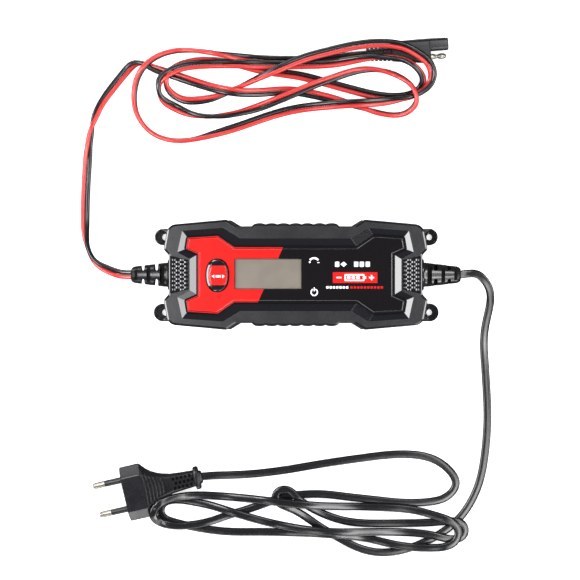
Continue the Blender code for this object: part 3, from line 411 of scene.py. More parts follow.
MAINS_ROUTE = [
    # from the gland down to the table, and down the right side
    (105.5, 0.2, 20), (110, 0.7, 19.7), (115.6, 0.4, 18.2), (120.8, -3.6, 16), (124.4, -10.4, 13.8),
    (124.9, -18, 11.2), (122.8, -30, 7.4), (121.6, -42.6, 4.2), (122.3, -56.2, 2.2), (123.5, -74.4),
    (124.1, -94.3), (122.6, -115), (118.6, -135.4), (112.2, -149.4), (104.6, -159.3), (96, -166.4),
    (86.3, -172.1), (70.5, -178.2), (54, -180.2), (39.5, -176.9), (26.5, -170.2), (14, -162.6),
    (3, -155, 2.8),
    # small loop, under the long upper strand both ways
    (-5.4, -150.6, 4.6), (-11.4, -147.4, 5), (-13.4, -143.2, 5), (-10.6, -139.6, 5), (-5, -139.4, 5),
    (0, -143.6, 5.2), (8.6, -150.4, 3.4), (20, -156.2, 1.8), (34, -160.2), (51, -161.4),
    (72, -161.2, 1.8), (90, -160.3, 3.6), (103, -159.7, 5),
    # hairpin at the right, then the straight strand to the left
    (107.5, -161.3, 5), (109.2, -165.4, 5), (107.5, -169.5, 5), (103, -171.1, 5), (90, -169, 5),
    (72, -167, 3.4), (54, -166.4, 4.8), (36, -166.2, 8), (18, -165.6, 8.6), (2, -164.1, 6),
    (-14, -161.4, 3.4), (-29, -157.4, 4.6), (-42, -153.4, 5.2), (-54, -149.9, 3.2), (-68, -147.1, 1.8),
    (-80.5, -146.2), (-85.9, -148.2), (-88.1, -152.9), (-86, -157.6),
    # inner left loop and the lower strand to the right
    (-80.8, -160.1), (-71, -162.7), (-58.5, -165.1), (-43.6, -166.7), (-23.6, -166.9),
    (-4.1, -167.2, 2.4), (12, -167.4, 4.8), (27, -168.4, 5.2), (44.3, -170.6, 3), (60.5, -174, 4.6),
    (76.6, -176.4, 5.2), (88, -176.5, 6.6),
    # right loop tip over the others, and the upper strand to the left
    (97, -175.3, 8.2), (102.6, -172, 8.4), (104.7, -166.6, 8.4), (102.2, -160.9, 8.4),
    (96, -157.4, 8.2), (87, -154.8, 6.2), (76, -152.3, 4.8), (60, -150.8, 4.6), (40, -150.2, 3.6),
    (22, -149.7, 5.8), (7, -148.6, 8.2), (-7, -147.2, 8.6), (-20, -145.7, 8), (-34, -144.6, 4.6),
    (-48, -143.7, 2.4), (-63, -143, 3.2),
    # outer left loop, over the plug's shoulder
    (-75.5, -143.6, 6.4), (-84.4, -145.7, 11), (-90.2, -149.6, 13), (-91.9, -155, 11),
    (-88.4, -159.6, 7.2), (-80.5, -162.1, 5.4), (-69.7, -162.1, 5), (-58, -160.2, 4.2),
    (-43.6, -155.9), (-26, -150.4), (-9, -144.6), (4.4, -142.6),
    # last strand, round the right side and back to the plug
    (17, -142.4), (33, -144.1), (52, -146.2), (70, -147.9), (86, -147.4), (98.5, -143.4),
    (103.6, -135.4), (99, -126.6), (88, -119.3), (71.2, -116.5), (44.3, -118.7), (17.3, -122.6),
    (-4.2, -126.2, 1.8), (-23.6, -128.6, 3), (-43, -129.6, 5.2), (-56, -129.9, 6.8),
    (-61.4, -130.4, 7.1),
]


# ---------------------------------------------------------------- camera, light and stage

def studio():
    """Camera straight above, long softboxes low at both ends, a soft light overhead."""
    camera = bpy.data.objects.new("camera", bpy.data.cameras.new("camera"))
    # the lens is shifted: the picture is centred beside the point right under the camera
    view_width, aside, ahead = 377.0, 17.0, 9.0
    camera.location = ((aside - 4.1) * MM, (ahead - 9.9) * MM, 1.1)
    camera.data.shift_x, camera.data.shift_y = -aside / view_width, -ahead / view_width
    camera.data.sensor_width, camera.data.lens = 36.0, 105.0
    camera.data.clip_start = 0.02
    bpy.context.scene.collection.objects.link(camera)
    bpy.context.scene.camera = camera
    softboxes = [
        # azimuth, elevation, distance, width, height, radiance
        (180, 27, 1.3, 1.2, 0.42, 9.0), (-4, 27, 1.3, 0.9, 0.42, 6.5), (-58, 28, 1.3, 0.8, 0.5, 2.2),
        (180, 62, 0.41, 0.16, 0.1, 15.0), (90, 60, 1.5, 1.4, 0.4, 0.2), (-90, 9, 1.3, 1.3, 0.28, 6.5),
        (112, 12, 1.3, 1.3, 0.25, 7.0), (0, 66, 0.413, 0.5, 0.05, 4.5),
        (48, 52, 0.5, 0.3, 0.12, 4.0), (-48, 52, 0.5, 0.3, 0.12, 4.0)]
    softboxes += [(azimuth, 60, 1.3, 0.2, 0.2, 5.0) for azimuth in (58, 122, -58, -122)]
    for i, (azimuth, elevation, distance, width, height, radiance) in enumerate(softboxes):
        lamp = bpy.data.lights.new(f"softbox_{i}", "AREA")
        lamp.shape, lamp.size, lamp.size_y = "RECTANGLE", width, height
        lamp.energy = radiance * math.pi * width * height
        item = bpy.data.objects.new(f"softbox_{i}", lamp)
        turn, rise = math.radians(azimuth), math.radians(elevation)
        way = Vector((math.cos(turn) * math.cos(rise), math.sin(turn) * math.cos(rise), math.sin(rise)))
        item.location = way * distance
        item.rotation_euler = way.to_track_quat("Z", "Y").to_euler()
        bpy.context.scene.collection.objects.link(item)
    world = bpy.data.worlds.new("studio")
    world.use_nodes = True
    world.node_tree.nodes["Background"].inputs["Color"].default_value = (0.9, 0.95, 1.0, 1)
    world.node_tree.nodes["Background"].inputs["Strength"].default_value = 0.12
    bpy.context.scene.world = world
    bpy.context.scene.view_settings.view_transform = "Standard"
    bpy.context.scene.view_settings.look = "None"


def table_top():
    """A wide pale lit table, curved up at its far rim."""
    finish = shader("lit_table", (0.9, 0.9, 0.9), 0.6)
    finish.node_tree.nodes["Principled BSDF"].inputs["Emission Color"].default_value = (1, 1, 1, 1)
    finish.node_tree.nodes["Principled BSDF"].inputs["Emission Strength"].default_value = 0.75
    bumped(finish, pattern(finish, 1.5, 2.0), "Fac", 0.01)
    rings = [level(circle(r, 96), z) for r, z in ((20, -0.4), (4500, -0.4), (6000, 250), (6400, 1400))]
    stage = piece("table_top", [p for ring in rings for p in ring],
                  [tuple(range(96))] + band(rings, caps=False), finish, None)
    stage.visible_glossy = False


# ---------------------------------------------------------------- cords

def smooth_curve(route, steps=24):
    """Points along a natural cubic spline through a route, as in the CAD."""
    points = [Vector((*place, LYING)[:3]) for place in route]
    spans = [(b - a).length for a, b in zip(points, points[1:])]
    count = len(points)
    zero = Vector((0, 0, 0))
    lower, diagonal, upper, right = [0.0] * count, [1.0] * count, [0.0] * count, [zero] * count
    for i in range(1, count - 1):
        before, after = spans[i - 1], spans[i]
        lower[i], diagonal[i], upper[i] = before, 2 * (before + after), after
        right[i] = 6 * ((points[i + 1] - points[i]) / after - (points[i] - points[i - 1]) / before)
    for i in range(1, count):
        share = lower[i] / diagonal[i - 1]
        diagonal[i] -= share * upper[i - 1]
        right[i] = right[i] - share * right[i - 1]
    bend = [zero] * count
    for i in reversed(range(count)):
        bend[i] = (right[i] - upper[i] * (bend[i + 1] if i + 1 < count else zero)) / diagonal[i]
    curve = []
    for i, span in enumerate(spans):
        for k in range(steps):
            t, s = k / steps, 1 - k / steps
            sag = ((s ** 3 - s) * bend[i] + (t ** 3 - t) * bend[i + 1]) * span * span / 6
            curve.append((i + t, s * points[i] + t * points[i + 1] + sag))
    curve.append((count - 1.0, points[-1]))
    for _, point in curve:
        point.z = max(point.z, LEAD_RADIUS)
    return curve


def resampled(curve, step):
    """(route parameter, point) pairs at even distances."""
    kept, run = [curve[0]], 0.0
    for (_, before), (t, here) in zip(curve, curve[1:]):
        run += (here - before).length
        if run >= step:
            kept.append((t, here))
            run = 0.0
    if (kept[-1][1] - curve[-1][1]).length < step / 2:
        kept.pop()
    return kept + [curve[-1]]


def extended(path, length):
    """The path with a straight bit at both ends, inside the gland and the connector."""
    first = path[0][1] + (path[0][1] - path[1][1]).normalized() * length
    last = path[-1][1] + (path[-1][1] - path[-2][1]).normalized() * length
    return [(path[0][0], first)] + path + [(path[-1][0], last)]


def roll_at(rolls, t):
    """The twist of the pair at a route parameter, eased between its stations."""
    for (t0, r0), (t1, r1) in zip(rolls, rolls[1:]):
        if t <= t1:
            share = (t - t0) / (t1 - t0)
            return math.radians(r0 + (r1 - r0) * share * share * (3 - 2 * share))
    return math.radians(rolls[-1][1])


def evened(values, reach):
    """A running mean, so that the pair lifts and settles softly."""
    return [sum(values[max(0, i - reach):i + reach + 1]) / len(values[max(0, i - reach):i + reach + 1])
            for i in range(len(values))]


def heading(points, i):
    """Direction of a line of points at one of them."""
    return (points[min(i + 1, len(points) - 1)] - points[max(i - 1, 0)]).normalized()


def swept(paths, sections):
    """Rings of a section swept along each path; the section lies level across the path."""
    stacks = []
    for path, outline in zip(paths, sections):
        rings = []
        for i, here in enumerate(path):
            ahead = heading(path, i)
            side = Vector((0, 0, 1)).cross(ahead).normalized()
            top = ahead.cross(side)
            rings.append([here + side * a + top * b for a, b in outline])
        stacks.append(rings)
    return stacks


def dc_lead(red, black):
    """Two round wires side by side that twist over each other along the route."""
    path = extended(resampled(smooth_curve(DC_ROUTE), 1.6), 1.4)
    rolls = [roll_at(DC_ROLLS, t) for t, _ in path]
    lift = evened([abs(math.sin(roll)) for roll in rolls], 3)
    middle, wires = [], ([], [])
    places = [here for _, here in path]
    for i, here in enumerate(places):
        ahead = heading(places, i)
        left = Vector((-ahead.y, ahead.x, 0)).normalized()
        top = ahead.cross(left)
        if top.z < 0:
            top = -top
        spot = here + Vector((0, 0, WIRE_RADIUS * (1 + lift[i]) - LEAD_RADIUS))
        across = (left * math.cos(rolls[i]) + top * math.sin(rolls[i])) * WIRE_RADIUS
        middle.append(spot)
        wires[0].append(spot + across)
        wires[1].append(spot - across)
    stacks = swept(wires, [circle(WIRE_RADIUS - 0.02, 14)] * 2)
    points, faces, slots = [], [], []
    for which, rings in enumerate(stacks):
        made = band(rings, first=len(points))
        slots += [which] * len(made)
        faces += made
        points += [p for ring in rings for p in ring]
    cable = piece("dc_lead_pair", points, faces, [red, black], slots=slots, smooth=60)
    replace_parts(cable, "dc_lead")
    return cable, [tuple(p * MM) for p in middle]


def mains_lead(sheath):
    """A flat twin cord whose section is two round cores joined by a web."""
    path = [here for _, here in extended(resampled(smooth_curve(MAINS_ROUTE), 1.6), 1.4)]
    outline = []
    for k in range(24):
        angle = math.tau * k / 24
        shift = math.copysign(CORD_SHIFT, math.cos(angle)) * min(1.0, abs(math.cos(angle)) * 4)
        waist = 0.12 * math.exp(-(math.cos(angle) * 3.2) ** 2)
        outline.append((shift + LEAD_RADIUS * math.cos(angle),
                        (LEAD_RADIUS - 0.02 - waist) * math.sin(angle)))
    rings = swept([path], [outline])[0]
    cord = loft("mains_lead_flat", rings, sheath, smooth=60)
    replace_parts(cord, "mains_lead")
    return cord, [tuple(p * MM) for p in path]


# ---------------------------------------------------------------- housing

LOWER_RIM, UPPER_RIM, CEILING, LABEL_SEAT, TOP = 19.6, 20.8, 37.3, 39.3, 42.0
FLOOR, GLAND_Z, NECK_RADIUS, GAP = 2.5, 20.0, 6.8, 0.3
END_CORNERS = [(79.6, 12.2, 1.0), (82.9, 15.9, 1.6), (80.0, 31.4, 6.5)]
UPPER_CORNERS = END_CORNERS + [(43.3, 34.7, 2.0), (36.7, 30.4, 1.5)]
LOWER_CORNERS = END_CORNERS + [(41.6, 34.9, 1.5), (34.9, 30.8, 1.5)]
INNER_CORNERS = [(77.2, 11.8, 0.8), (80.3, 16.6, 1.2), (77.8, 28.3, 4.0), (45.2, 31.4, 1.0),
                 (38.8, 26.9, 1.0)]
LABEL_CORNERS = [(61.9, 12.6, 0.3), (69.4, 15.9, 0.3), (68.1, 23.8, 0.3), (48.6, 25.0, 0.3),
                 (38.3, 17.9, 0.3)]
BEVEL_CORNERS = [(66.2, 9.9, 0.3), (73.9, 14.0, 0.3), (70.9, 27.5, 0.3), (45.5, 29.3, 0.3),
                 (34.8, 22.7, 0.3)]
GRIP_RIBS, GRIP_HALF_LENGTH, GRIP_VALLEY, GRIP_RISE = 7, 26.25, 31.7, 0.8
GRIP_STEP = (27.5, 30.5)
PAD_FLOOR = 40.8
PAD_PLAN = [(66.9, -9.2), (78.6, -12.0), (78.6, 12.0), (66.9, 9.2)]
LUG_X, LUG_Y, LUG_RADIUS, LUG_ROOT, LUG_HEIGHT, LUG_SEAT = 86.35, 24.4, 5.3, 76, 6.5, 4.5
LUG_COUNTERBORE = 4.1
# Screw bore of the lugs at each end: its x and its radius
LUG_BORE = {1: (86.2, 1.9), -1: (85.0, 2.1)}
SCREW_X, SCREW_Y, SCREW_SEAT = 66.0, 22.0, 14.3
WINDOW = (-38.3, 4.0, -9.1, 10.1)
BUTTON_X, BUTTON_Y, BUTTON_HALF, BUTTON_SQUARE = -49.0, -0.4, (7.2, 10.3), 2.25
LED_PLACES = [(11.6, 9.0), (11.7, -11.0)]
# Screw bosses of the display board, and the main board's screws
BOARD_BOSSES, BOARD_SCREWS = [(-59.0, 13.5), (17.0, -13.5)], [(-52.0, -20.0), (52.0, 20.0)]


def grip_wave(phase, rise):
    return GRIP_VALLEY + rise * math.sin(math.pi * phase) ** 0.8


def with_grips(outline, rise):
    """The upper plan with scalloped finger ribs along both long sides."""
    steps = 8
    half, quarter = len(outline) // 2, len(outline) // 4
    pitch = 2 * GRIP_HALF_LENGTH / GRIP_RIBS
    ribs = [Vector((GRIP_HALF_LENGTH - k * pitch / steps, grip_wave((k % steps) / steps, rise)))
            for k in range(GRIP_RIBS * steps + 1)]
    ribs = [Vector(GRIP_STEP)] + ribs + [Vector((-GRIP_STEP[0], GRIP_STEP[1]))]
    return (outline[:quarter] + ribs + outline[quarter:half + quarter]
            + [-p for p in ribs] + outline[half + quarter:])


def button_outline(grow=0.0, x=BUTTON_X, y=BUTTON_Y, shift=0.0):
    half_width, half_length = BUTTON_HALF
    return moved(oval(half_width + grow, half_length + grow, BUTTON_SQUARE, 64), x + shift, y)


def gland_holes():
    return [[[(side * x, y, GLAND_Z + z) for y, z in circle(NECK_RADIUS + GAP, 40)]
             for x in (74, 84)] for side in (1, -1)]


def top_shell(finish, gloss):
    """Upper shell: finger ribs, bevelled recess for the label, openings and bosses."""
    plan = rounded(four_fold(UPPER_CORNERS))
    ribbed, flat = with_grips(plan, GRIP_RISE), with_grips(plan, 0.35)
    rings = [level(inset(ribbed, 0.25), UPPER_RIM), level(ribbed, UPPER_RIM + 0.25)]
    # a rounded shoulder, a narrow chamfer and the flat top
    for distance, height, share in ((0.1, 39.9, 0.0), (0.14, 40.4, 0.15), (0.24, 40.8, 0.3),
                                    (0.38, 41.15, 0.5), (0.55, 41.43, 0.7), (1.3, 41.9, 0.95),
                                    (1.55, TOP, 1.0)):
        blend = [a.lerp(b, share) for a, b in zip(ribbed, flat)]
        rings.append(level(inset(blend, distance), height))
    cover = loft("top_shell", rings, finish)
    cover.data.materials.append(gloss)
    seat, edge = rounded(four_fold(LABEL_CORNERS), 3), rounded(four_fold(BEVEL_CORNERS), 3)
    boolean(cover, [[level(seat, LABEL_SEAT), level(edge, TOP), level(edge, TOP + 3)]], finish=gloss)
    mirrored = [(-x, y) for x, y in reversed(PAD_PLAN)]
    boolean(cover, [slab(p, PAD_FLOOR, TOP + 1) for p in (PAD_PLAN, mirrored)], finish=gloss)
    inner = rounded(four_fold(INNER_CORNERS), 5)
    boolean(cover, [slab(inner, UPPER_RIM - 5, CEILING)])
    screws = four_places(SCREW_X, SCREW_Y)
    bosses = [post(3.6, UPPER_RIM, CEILING + 1, 32, at) for at in screws]
    bosses += [post(2.4, 31.9, CEILING + 1, 24, at) for at in BOARD_BOSSES]
    boolean(cover, bosses, "UNION")
    hole = button_outline(GAP)
    openings = [slab(hole, CEILING - 1, TOP + 1), block(*WINDOW, CEILING - 1, TOP + 1)]
    openings += [post(2.0, CEILING - 1, TOP, 24, at) for at in LED_PLACES]
    openings += [post(1.75, UPPER_RIM - 1, 31, 24, at) for at in screws]
    openings += [post(1.2, 31.0, 36.5, 16, at) for at in BOARD_BOSSES]
    boolean(cover, gland_holes() + openings)
    # the outer chamfer is polished like the recess
    for face in cover.data.polygons:
        reach = max(abs(face.center.x) - 62 * MM, abs(face.center.y) - 30 * MM)
        if 0.78 < face.normal.z < 0.93 and face.center.z > 41.3 * MM and reach > 0:
            face.material_index = 1
    soften(cover, 0.16)
    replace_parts(cover, "top_cover")
    return cover


# Levels of one wedge: half length, half width, height over the pad's floor
WEDGE = [(1.2, 0.75, -0.1), (1.2, 0.75, 0.1), (0.35, 0.45, 0.62)]


def end_pads(finish):
    """Fields of small blunt wedges at both ends, every second column shifted by half a row."""
    pitch, stacks = 2.65, []
    for side in (1, -1):
        for column in range(4):
            x = side * (68.5 + column * pitch)
            reach = 9.2 + (abs(x) - 66.9) * 2.8 / 11.7 - 0.9
            for k in range(-5, 6):
                y = (k + 0.5 * (column % 2)) * pitch
                if abs(y) < reach:
                    stacks.append([level(rectangle(x - a, x + a, y - b, y + b), PAD_FLOOR + z)
                                   for a, b, z in WEDGE])
    pads = lofts("end_pad_wedges", stacks, finish, smooth=20)
    edge = pads.modifiers.new("edge", "BEVEL")
    edge.width, edge.segments, edge.limit_method = 0.07 * MM, 2, "NONE"
    applied(pads)
    resharpened(pads, 60)
    return flattened(pads)


def lug_plan(sx, sy):
    outline = []
    for k in range(25):
        angle = math.radians(-90 + 7.5 * k)
        outline.append((sx * (LUG_X + LUG_RADIUS * math.cos(angle)),
                        sy * LUG_Y + LUG_RADIUS * math.sin(angle)))
    return outline + [(sx * LUG_ROOT, sy * LUG_Y + LUG_RADIUS), (sx * LUG_ROOT, sy * LUG_Y - LUG_RADIUS)]


def bottom_shell(finish, gloss):
    """Lower shell with screw lugs, pillars and deep screw holes from below."""
    outline = rounded(four_fold(LOWER_CORNERS))
    rings = [level(inset(outline, 1.4 + 0.5), 0.0), level(inset(outline, 1.4), 0.12),
             level(inset(outline, 0.5), 1.25), level(inset(outline, 0.1), 1.9), level(outline, 2.6),
             level(outline, LOWER_RIM - 0.5), level(inset(outline, 0.2), LOWER_RIM - 0.28),
             level(inset(outline, 1.25), LOWER_RIM)]
    cover = loft("bottom_shell", rings, finish)
    inner = rounded(four_fold(INNER_CORNERS), 5)
    boolean(cover, [slab(inner, FLOOR, LOWER_RIM + 5)])
    lugs = []
    for sx, sy in signs():
        plans = [[Vector(p) for p in (lug_plan(sx, sy) if sx * sy > 0 else reversed(lug_plan(sx, sy)))]]
        plans += [inset(plans[0], d) for d in (0.12, 0.45)]
        lugs.append([level(plans[0], 0.0), level(plans[0], LUG_HEIGHT - 0.5),
                     level(plans[1], LUG_HEIGHT - 0.15), level(plans[2], LUG_HEIGHT)])
    boolean(cover, lugs, "UNION")
    cover.data.materials.append(gloss)
    seats = [post(LUG_COUNTERBORE, LUG_SEAT, 8, 48, at) for at in four_places(LUG_X, LUG_Y)]
    boolean(cover, seats, finish=gloss)
    posts = [post(4.6, 1, LOWER_RIM, 32, at) for at in four_places(SCREW_X, SCREW_Y)]
    posts += [post(2.6, 1, 6.7, 24, at) for at in four_places(52, 20)]
    boolean(cover, posts, "UNION")
    holes = gland_holes()
    for sx, sy in signs():
        bore_x, bore = LUG_BORE[sx]
        holes.append(post(bore, -1, 5, 32, (sx * bore_x, sy * LUG_Y)))
        holes.append(turned([(3.4, -1), (3.4, SCREW_SEAT), (1.8, SCREW_SEAT), (1.8, 21)], 32,
                            (sx * SCREW_X, sy * SCREW_Y)))
    holes += [post(1.2, 3, 8, 16, at) for at in BOARD_SCREWS]
    boolean(cover, holes)
    # so are the rim's ledge and the lugs
    for face in cover.data.polygons:
        ledge = 0.9 < face.normal.z < 0.985 and face.center.z > (LOWER_RIM - 0.3) * MM
        if ledge or abs(face.center.x) > 83 * MM:
            face.material_index = 1
    soften(cover, 0.16)
    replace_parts(cover, "bottom_cover")
    return cover


# ---------------------------------------------------------------- face

PRINT = 40.12


def shrunk(corners, distance, radius=0.3):
    """A polygon moved inwards, then rounded at its corners."""
    corners = [Vector(c[:2]) for c in corners]
    if sum(a.x * b.y - a.y * b.x for a, b in zip(corners, corners[1:] + corners[:1])) < 0:
        corners.reverse()
    return rounded([(p.x, p.y, radius) for p in inset(corners, distance)], 3)


def label_rings(first, low, high):
    """The sheet's outline level by level, with a low bead along its border."""
    corners = four_fold(LABEL_CORNERS)
    steps = [(0.0, low), (0.0, high - 0.12), (0.12, high), (0.75, high), (0.9, high + 0.12),
             (1.1, high + 0.17), (1.3, high + 0.12), (1.45, high)]
    return [level(shrunk(corners, first + distance), height) for distance, height in steps]


def label(black, red, white):
    """Printed panel: a glossy black sheet with a red field and white marks."""
    low, high = LABEL_SEAT + GAP, LABEL_SEAT + GAP + 0.5
    panel = loft("label_sheet", label_rings(0.4, low, high), black, smooth=20)
    hole = button_outline(GAP)
    openings = [block(*WINDOW, low - 1, high + 1), slab(hole, low - 1, high + 1)]
    flattened(boolean(panel, openings))
    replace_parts(panel, "label_panel")
    print_red = loft("label_red_field", label_rings(0.6, high - 0.1, high + 0.04), red, smooth=20)
    beyond = [(-7.4, 18), (-24.0, -18), (-24.0, -40), (90, -40), (90, 40), (-7.4, 40)]
    boolean(print_red, [slab(beyond, low - 1, high + 1)])
    flattened(boolean(print_red, openings))
    marks(white, red)
    return panel


def rounded_bar(x0, x1, y0, y1, radius=0.3):
    return rounded([(x0, y0, radius), (x1, y0, radius), (x1, y1, radius), (x0, y1, radius)], 3)


def ring_sector(centre, inner, outer, start, end, steps=20):
    ways = [(math.cos(a), math.sin(a)) for a in
            (math.radians(start + (end - start) * k / steps) for k in range(steps + 1))]
    return ([(centre[0] + outer * c, centre[1] + outer * s) for c, s in ways]
            + [(centre[0] + inner * c, centre[1] + inner * s) for c, s in reversed(ways)])


def marks(white, red):
    """Generic white and red marks: an arc with two end dots, a power sign, bars and a red badge."""
    low, high = PRINT - 0.02, PRINT + 0.05
    stacks = []

    def add(outline):
        stacks.append(slab(outline, low, high))

    add(ring_sector((11.6, 7.1), 2.7, 3.9, 38, 142))
    add(circle(0.62, 20, (8.9, 7.9)))
    add(rounded_bar(13.6, 15.0, 7.3, 7.9, 0.2))
    add(ring_sector((11.7, -11.0), 1.55, 2.4, 112, 428, 40))
    add(rounded_bar(11.35, 12.05, -10.3, -7.9, 0.2))
    for x in (24.7, 36.6, 40.2, 43.9):
        add(rounded_bar(x, x + 2.7, 4.9, 8.2, 0.5))
    add([(28.1, 6.55), (30.2, 4.9), (32.2, 6.55), (30.2, 8.2)])
    for k in range(7):
        add(rounded_bar(19.2 + 2.05 * k, 20.75 + 2.05 * k, -8.7, -7.2, 0.25))
    lofts("label_white_marks", stacks, white, smooth=20)
    stacks = []
    add(rounded_bar(23.3, 51.3, -5.2, 1.6, 0.25))
    for k in range(10):
        add(rounded_bar(34.3 + 2.1 * k, 35.85 + 2.1 * k, -8.7, -7.2, 0.25))
    lofts("label_red_marks", stacks, red, smooth=20)
    stacks, low, high = [], high - 0.02, high + 0.04
    # the badge's content is a battery sign with charge bars between plus and minus
    body = rounded_bar(30.6, 43.2, -4.0, 0.4, 0.5)
    hollow = rounded_bar(31.6, 42.2, -3.1, -0.5, 0.2)
    battery = lofts("label_battery_sign", [slab(body, low, high)], white, smooth=20)
    boolean(battery, [slab(hollow, low - 1, high + 1)])
    for x0, x1 in ((32.2, 34.4), (35.1, 37.3), (38.0, 40.2)):
        add(rounded_bar(x0, x1, -2.6, -1.0, 0.15))
    add(rounded_bar(43.2, 44.2, -2.6, -1.0, 0.15))
    add(rounded_bar(25.6, 28.8, -2.25, -1.35, 0.15))
    add([(46.0, -2.25), (47.2, -2.25), (47.2, -3.4), (48.1, -3.4), (48.1, -2.25), (49.3, -2.25),
         (49.3, -1.35), (48.1, -1.35), (48.1, -0.2), (47.2, -0.2), (47.2, -1.35), (46.0, -1.35)])
    lofts("label_battery_marks", stacks, white, smooth=20)


def display(pane_finish):
    """Window pane, drawn as one opaque grey solid for the window and the display's field under it."""
    x0, x1, y0, y1 = WINDOW
    outline = rounded_bar(x0 + GAP, x1 - GAP, y0 + GAP, y1 - GAP)
    rings = [level(inset(outline, 0.15), CEILING), level(outline, CEILING + 0.2),
             level(outline, 38.9), level(inset(outline, 0.2), 39.1)]
    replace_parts(loft("window_pane", rings, pane_finish, smooth=20), "lcd_window")


def push_button(gloss, red, white):
    """Oval glossy cap, bevelled wider on its left, with a red face and a generic white mark."""
    place = placing((BUTTON_X, BUTTON_Y, 0), 0)
    rings = slab(button_outline(1.2, 0, 0), 35.6, 36.7)
    for shrink, height, shift in ((GAP, 36.7, 0), (GAP, 40.3, 0), (0.4, 40.45, 0.0), (1.05, 41.1, 0.42),
                                  (1.2, 41.16, 0.45), (3.4, 41.25, 0.3)):
        rings.append(level(button_outline(-shrink, 0, 0, shift), height))
    cap = loft("button_cap", rings, gloss, BUTTON, smooth=24, place=place)
    middle, half = 0.35, 6.15
    reach_x, reach_y = BUTTON_HALF[0] - 1.4, BUTTON_HALF[1] - 1.4

    def red_outline(shrink):
        """The oval's middle stretch, straight above and below."""
        outline = []
        for x, y in oval(reach_x - shrink, reach_y - shrink, BUTTON_SQUARE, 96):
            outline.append((x + middle, max(-half + shrink, min(half - shrink, y))))
        return [p for p, q in zip(outline, outline[1:] + outline[:1]) if math.dist(p, q) > 0.02]

    pocket = red_outline(-0.15)
    boolean(cap, [slab(pocket, 40.3, 43)], place=place)
    soften(cap, 0.1)
    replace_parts(cap, "mode_button_cap")
    stacks = []
    outline = red_outline(0.0)
    for share, height in ((1.0, 40.5), (1.0, 41.42), (0.99, 41.5), (0.8, 41.53)):
        stacks.append([(middle + (x - middle) * share, y * share, height) for x, y in outline])
    inlay = loft("button_red_face", stacks, red, BUTTON, smooth=60, place=place)
    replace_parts(inlay, "mode_button_inlay")
    mark = ([(-3.5, -0.6), (-1.9, -1.7), (-1.9, 0.5)], rounded_bar(-1.0, 2.2, -1.3, 0.1, 0.3),
            [(4.7, -0.6), (3.1, 0.5), (3.1, -1.7)])
    lofts("button_mark", [slab(outline, 41.5, 41.62) for outline in mark], white, BUTTON, smooth=20,
          place=place)


# ---------------------------------------------------------------- glands, plug and connector

def across(outline, x, centre=(0.0, 0.0)):
    """An outline given as (y, z), standing across X."""
    return [(x, centre[0] + y, centre[1] + z) for y, z in outline]


def cord_gland(name, side, finish, painted_shade_black):
    """A slotted nose between flanges; the cord leaves through its tip."""
    place = placing((0, 0, GLAND_Z), 0 if side > 0 else 180)
    profile = [(8.6, 74.6), (8.6, 76.9), (6.8, 76.9), (6.8, 79.9), (9.7, 79.9), (9.95, 80.2), (9.95, 81.0),
               (9.6, 81.4), (8.0, 81.6), (7.7, 82.2), (7.6, 84.0), (5.4, 102.6), (4.9, 104.0), (4.0, 105.0)]
    nose = loft(name + "_nose", turned_along_x(profile, 56), finish, place=place)
    nose.data.materials.append(painted_shade_black)
    # the mains nose is notched from above only, the other one right through
    stacks, floor = [], (-1.0 if side > 0 else -12)
    for x, half in ((88.9, 1.25), (97.5, 1.1)):
        for face in (1, -1):
            notch = [(x - half, face * 3.4), (x - half / 2, face * 2.6), (x + half / 2, face * 2.6),
                     (x + half, face * 3.4), (x + half, face * 12), (x - half, face * 12)]
            stacks.append(slab(notch, floor, 12))
    for x, half in ((84.9, 1.5), (93.6, 1.2), (101.6, 0.95)):
        for face in (1, -1):
            low, high = sorted((face * 4.3, face * 12))
            stacks.append(block(x - half, x + half, -12, 12, low, high))
    stacks.append([across(oval(3.2 if side < 0 else 2.9, 1.75, 2.6), x) for x in (102.8, 106)])
    # the cut faces of the notches, grooves and tip bore get the painted-shade black
    boolean(nose, stacks, finish=painted_shade_black, place=place)
    soften(nose, 0.2)
    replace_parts(nose, ("ac_gland" if side > 0 else "dc_gland"))
    return nose


PLUG_FACE, PLUG_TURN, PIN_SPREAD = (-110.6, -141.8, 7.1), 13.0, 9.5
# Along the plug: distance from its face, half width, half width of the flat top, half height, side
PLUG_BODY = [(0.0, 17.6, 11.0, 6.8, 1.6), (12.6, 17.6, 11.0, 6.8, 1.6), (14.4, 15.5, 10.2, 6.7, 1.9),
             (16.6, 13.0, 9.1, 6.5, 2.2), (19.2, 10.9, 7.9, 6.2, 2.5), (22.4, 9.1, 6.7, 5.9, 2.7),
             (26.2, 7.6, 5.5, 5.6, 2.8), (31.0, 6.3, 4.5, 5.2, 2.8), (38.0, 5.7, 4.1, 4.9, 2.7),
             (46.4, 5.1, 3.7, 4.6, 2.6)]


def plug_station(u):
    for a, b in zip(PLUG_BODY, PLUG_BODY[1:]):
        if u <= b[0]:
            share = (u - a[0]) / (b[0] - a[0])
            return [p + (q - p) * share for p, q in zip(a, b)]
    return list(PLUG_BODY[-1])


def plug_height(u, v):
    """Height of the plug's surface over its middle plane."""
    _, wide, flat, tall, side = plug_station(u)
    v = abs(v)
    return tall if v <= flat else tall + (side - tall) * (v - flat) / (wide - flat)


def plug_rib(u, sign):
    """One grip rib across a face of the plug, bowed towards the cord."""
    reach = plug_station(u)[1] - 2.6
    rings = []
    for k in range(17):
        v = -reach + 2 * reach * k / 16
        bow = u + 0.9 * (1 - (v / reach) ** 2)
        size = 0.46 * min(1.0, 0.25 + 3 * (1 - abs(v / reach)))
        middle = plug_height(bow, v) - 0.12
        rings.append([(bow + size * math.cos(a), v, sign * (middle + 0.12 + size * math.sin(a)))
                      for a in (math.tau * j / 10 for j in range(10))])
    return rings


